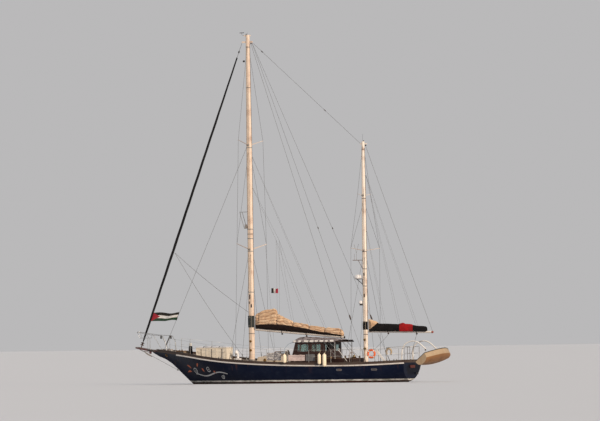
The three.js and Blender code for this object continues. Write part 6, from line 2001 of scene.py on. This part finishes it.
for x, y, low in ((-8.0, buoy_y, 2.07), (-8.2, buoy_y, 2.07), (-7.06, ring_centre.y, 2.02)):
    wire = on_rail(max(x, -7.98), 1, 0.75, -0.036)
    lashings.append(tube([
        (x, y, low), (x, (y + wire.y) / 2, (low + wire.z) / 2 + 0.02), (x, wire.y, wire.z),
    ], 0.006, 8))
make("buoy_lashings", lashings, rope_cream)
buoy = make("horseshoe_buoy", [tube(horseshoe, [0.045] + [0.06] * 23 + [0.045], 14)], buff_cloth)
white_paint = painted("white_paint", (0.66, 0.64, 0.62), 0.45, 0.4, 0.4, slot="white_paint")
plank_y = on_rail(-7.6).y - 0.16
plank = slab((-8.12, plank_y, 1.5), (-7.13, plank_y + 0.028, 1.64), Matrix.Rotation(-0.89, 3, "Y"))
make("boarding_plank", [plank], white_paint, bevel=0.006)
pole_top = on_rail(-5.07, 1, 0.72, -0.02)
pole = [
    tube([pole_top, on_rail(-5.59, 1, 0.05, -0.02)], 0.014),
    ring_tube([pole_top + Vector((0.06 * cos(a), 0, 0.06 * sin(a) + 0.06)) for a in around(20)], 0.01, 8),
]
make("boat_hook", pole, white_paint)

# Davits and tender. Two bent pipe davits hold the dinghy by falls from its thwarts. It is a clinker-built
# glassfibre boat, cream with a worn tan bottom, a black rubber gunwale and varnished thwarts.
place = Matrix.Translation((-10.34, 1.28, 1.32)) @ Matrix.Rotation(-pi / 2 - 0.1, 4, "Z")
place = place @ Matrix.Rotation(-0.09, 4, "Y") @ Matrix.Rotation(-0.65, 4, "X")
place = place @ Matrix.Translation((0, 0, -0.25))
DAVIT_LINE = [(-8.7, 1.07), (-8.7, 1.9), (-8.9, 2.33), (-9.4, 2.5), (-9.82, 2.43), (-10.33, 1.99)]
davits = [tube([(-8.79, -0.72, 2.13), (-8.79, 0.72, 2.13)], 0.022, 12)]
falls = []
for y, thwart in ((0.72, 0.565), (-0.72, 2.01)):
    davits.append(tube(eased([(x, y, z) for x, z in DAVIT_LINE], 0.3, 7), 0.038, 16))
    davits.append(slab((-8.79, y - 0.09, below(deck_surface, -8.7, y).z - 0.01), (-8.61, y + 0.09, 1.29)))
    davits.append(turned(
        [(0.04, -0.03), (0.046, 0.0), (0.04, 0.03)], (-10.3, y, 2.015), 16, (-0.76, 0, -0.65),
    ))
    falls.append(tube([(-10.305, y, 1.99), place @ Vector((thwart, 0, 0.275))], 0.007, 8))
make("davit_arms", davits, white_paint, bevel=0.004, replaces=["stern_davits"])
make("davit_falls", falls, rope_cream)
TENDER_ROWS = [
    (0, 0.43, 0.47, 0.04), (0.7, 0.56, 0.46, 0.01), (1.6, 0.62, 0.465, 0.0), (2.4, 0.5, 0.5, 0.02),
    (3.0, 0.23, 0.55, 0.11), (3.3, 0.025, 0.59, 0.33),
]
lines_x = [r[0] for r in TENDER_ROWS]


def tender_line(x):
    """Half width, gunwale and keel at a station, on a curve through the offsets."""
    out = []
    for k in (1, 2, 3):
        i = min(max(int(np.searchsorted(lines_x, x)) - 1, 0), 4)
        p0, p1, p2, p3 = (TENDER_ROWS[min(max(i + d, 0), 5)] for d in (-1, 0, 1, 2))
        t = (x - p1[0]) / (p2[0] - p1[0])
        m1 = (p2[k] - p0[k]) / max(p2[0] - p0[0], 0.1) * (p2[0] - p1[0])
        m2 = (p3[k] - p1[k]) / max(p3[0] - p1[0], 0.1) * (p2[0] - p1[0])
        out.append(
            (2 * t ** 3 - 3 * t * t + 1) * p1[k] + (t ** 3 - 2 * t * t + t) * m1
            + (3 * t * t - 2 * t ** 3) * p2[k] + (t ** 3 - t * t) * m2
        )
    return out


def tender_section(x, inset, lift):
    half, rim, keel_z = tender_line(x)
    w, low = max(half - inset, 0.004), keel_z + lift
    points = []
    for j in range(19):
        t = j / 18
        y = w * (1 - (1 - t) ** 2.3) * (0.97 + 0.03 * t)
        z = low + (rim - low) * (0.12 * t + 0.88 * t ** 2.1)
        step = 0.007 * ((t * 6) % 1.0 - 0.5) if inset == 0 and 0 < t < 1 and w > 0.1 else 0
        points.append((y - step, z))
    return points


def tender_skin(inset, lift, first, last, low=0, high=18):
    """The port side's rows of points, from the low to the high point of each section."""
    rows = []
    for x in np.linspace(first, last, 45):
        side = tender_section(x, inset, lift)[low:high + 1]
        rows.append([place @ Vector((x, y, z)) for y, z in side])
    return rows


def mirrored_rows(rows):
    back = place.inverted()
    return [[place @ (lambda q: Vector((q.x, -q.y, q.z)))(back @ p) for p in row][::-1] for row in rows]


tender_cream = painted(
    "tender_cream", (0.37, 0.27, 0.17), 0.4, 0.45, 0.4, (0.22, 0.12, 0.06), slot="glassfibre",
)
tender_tan = painted("tender_tan", (0.22, 0.1, 0.032), 0.55, 0.5, 0.4, (0.1, 0.05, 0.025), slot="glassfibre")
bottom = tender_skin(0, 0, 0, 3.3, 0, 10)
sides = tender_skin(0, 0, 0, 3.3, 10)
inside = tender_skin(0.022, 0.022, 0.02, 3.24)
for part, rows, paint, stands_for in (
    ("bottom", bottom, tender_tan, ["tender"]), ("topsides", sides, tender_cream, []),
    ("lining", inside, tender_cream, []),
):
    make(f"tender_{part}", [skin(rows), skin(mirrored_rows(rows))], paint, crisp=50, replaces=stands_for)
transom_rows = []
for x, inset, lift in ((0.0, 0, 0), (0.03, 0.02, 0.02)):
    ring = tender_section(x, inset, lift)
    full = [(-y, z) for y, z in reversed(ring)] + ring[1:]
    transom_rows.append([place @ Vector((x, y, z)) for y, z in full])
transom = []
for row in transom_rows:
    chord = [row[0].lerp(row[-1], k / (len(row) - 1)) for k in range(len(row))]
    transom.append(skin([row, chord]))
make("tender_transom", transom, tender_cream)
rubber = painted("gunwale_rubber", (0.015, 0.015, 0.016), 0.7, 0.3, 0.1)
gunwale = []
for side in (1, -1):
    points = []
    for x in np.linspace(0, 3.3, 40):
        half, rim, _ = tender_line(x)
        points.append(place @ Vector((x, side * half, rim)))
    gunwale.append(tube(points, 0.024, 10))
half, rim, _ = tender_line(0)
gunwale.append(tube([place @ Vector((0, -half, rim)), place @ Vector((0, half, rim))], 0.018, 10))
make("tender_gunwale", gunwale, rubber)
wood_in = []
for x, wide, z in ((0.565, 0.23, 0.285), (2.01, 0.23, 0.285), (2.75, 0.3, 0.36)):
    room = []
    for at in (x - wide / 2, x + wide / 2):
        ys, zs = zip(*tender_section(at, 0.022, 0.022))
        room.append(np.interp(z - 0.03, zs, ys))
    half = min(room) - 0.004
    verts, faces = slab((x - wide / 2, -half, z - 0.03), (x + wide / 2, half, z))
    wood_in.append(([place @ Vector(v) for v in verts], faces))
for y in (-0.18, 0.0, 0.18):
    verts, faces = slab((0.3, y - 0.07, 0.075), (2.3, y + 0.07, 0.09))
    wood_in.append(([place @ Vector(v) for v in verts], faces))
keel_strip = [place @ Vector((x, 0, tender_line(x)[2] - 0.004)) for x in np.linspace(0.02, 2.9, 24)]
wood_in.append(tube(keel_strip, 0.014, 8))
make("tender_thwarts", wood_in, teak, bevel=0.004)
davit_blocks = [part for y in (0.72, -0.72) for part in pulley((-10.31, y, 1.93), (0, 0, 1))]
make("davit_blocks", davit_blocks, iron_black)

# Aerials: a radar dome and a horn dome on brackets on the mizzen, a shelf with whips above them, and the
# lamp frame on the main mast.
dome_foot = Vector((MIZZEN_X + 0.46, 0, 6.32))
make("radar_dome", [turned([
    (0.18, 0), (0.2, 0.004), (0.225, 0.03), (0.238, 0.065), (0.24, 0.11), (0.236, 0.14), (0.215, 0.195),
    (0.17, 0.235), (0.1, 0.256), (0.02, 0.262),
], dome_foot, 40)], white_moulding, crisp=60, replaces=["radar"])
make("radar_bracket", [
    slab((MIZZEN_X + 0.12, -0.06, 6.292), (MIZZEN_X + 0.62, 0.06, 6.32)),
    tube([(MIZZEN_X + 0.13, 0, 5.97), (MIZZEN_X + 0.54, 0, 6.3)], 0.022),
    slab((MIZZEN_X + 0.143, -0.055, 5.93), (MIZZEN_X + 0.165, 0.055, 6.32)),
], iron_black, bevel=0.005)
smooth_node("aerial_platform", galvanised, 45)
smooth_node("mast_lamp_frame", galvanised, 60)
horn = turned([
    (0.1, -0.01), (0.136, 0.04), (0.139, 0.08), (0.132, 0.125), (0.09, 0.19), (0.02, 0.214),
], (MIZZEN_X + 0.3, 0, 4.79), 32)
make("horn_dome", [horn], white_moulding, crisp=60)
bracket = slab((MIZZEN_X + 0.14, -0.045, 4.695), (MIZZEN_X + 0.365, 0.045, 4.785))
make("horn_bracket", [bracket], iron_black, bevel=0.008)
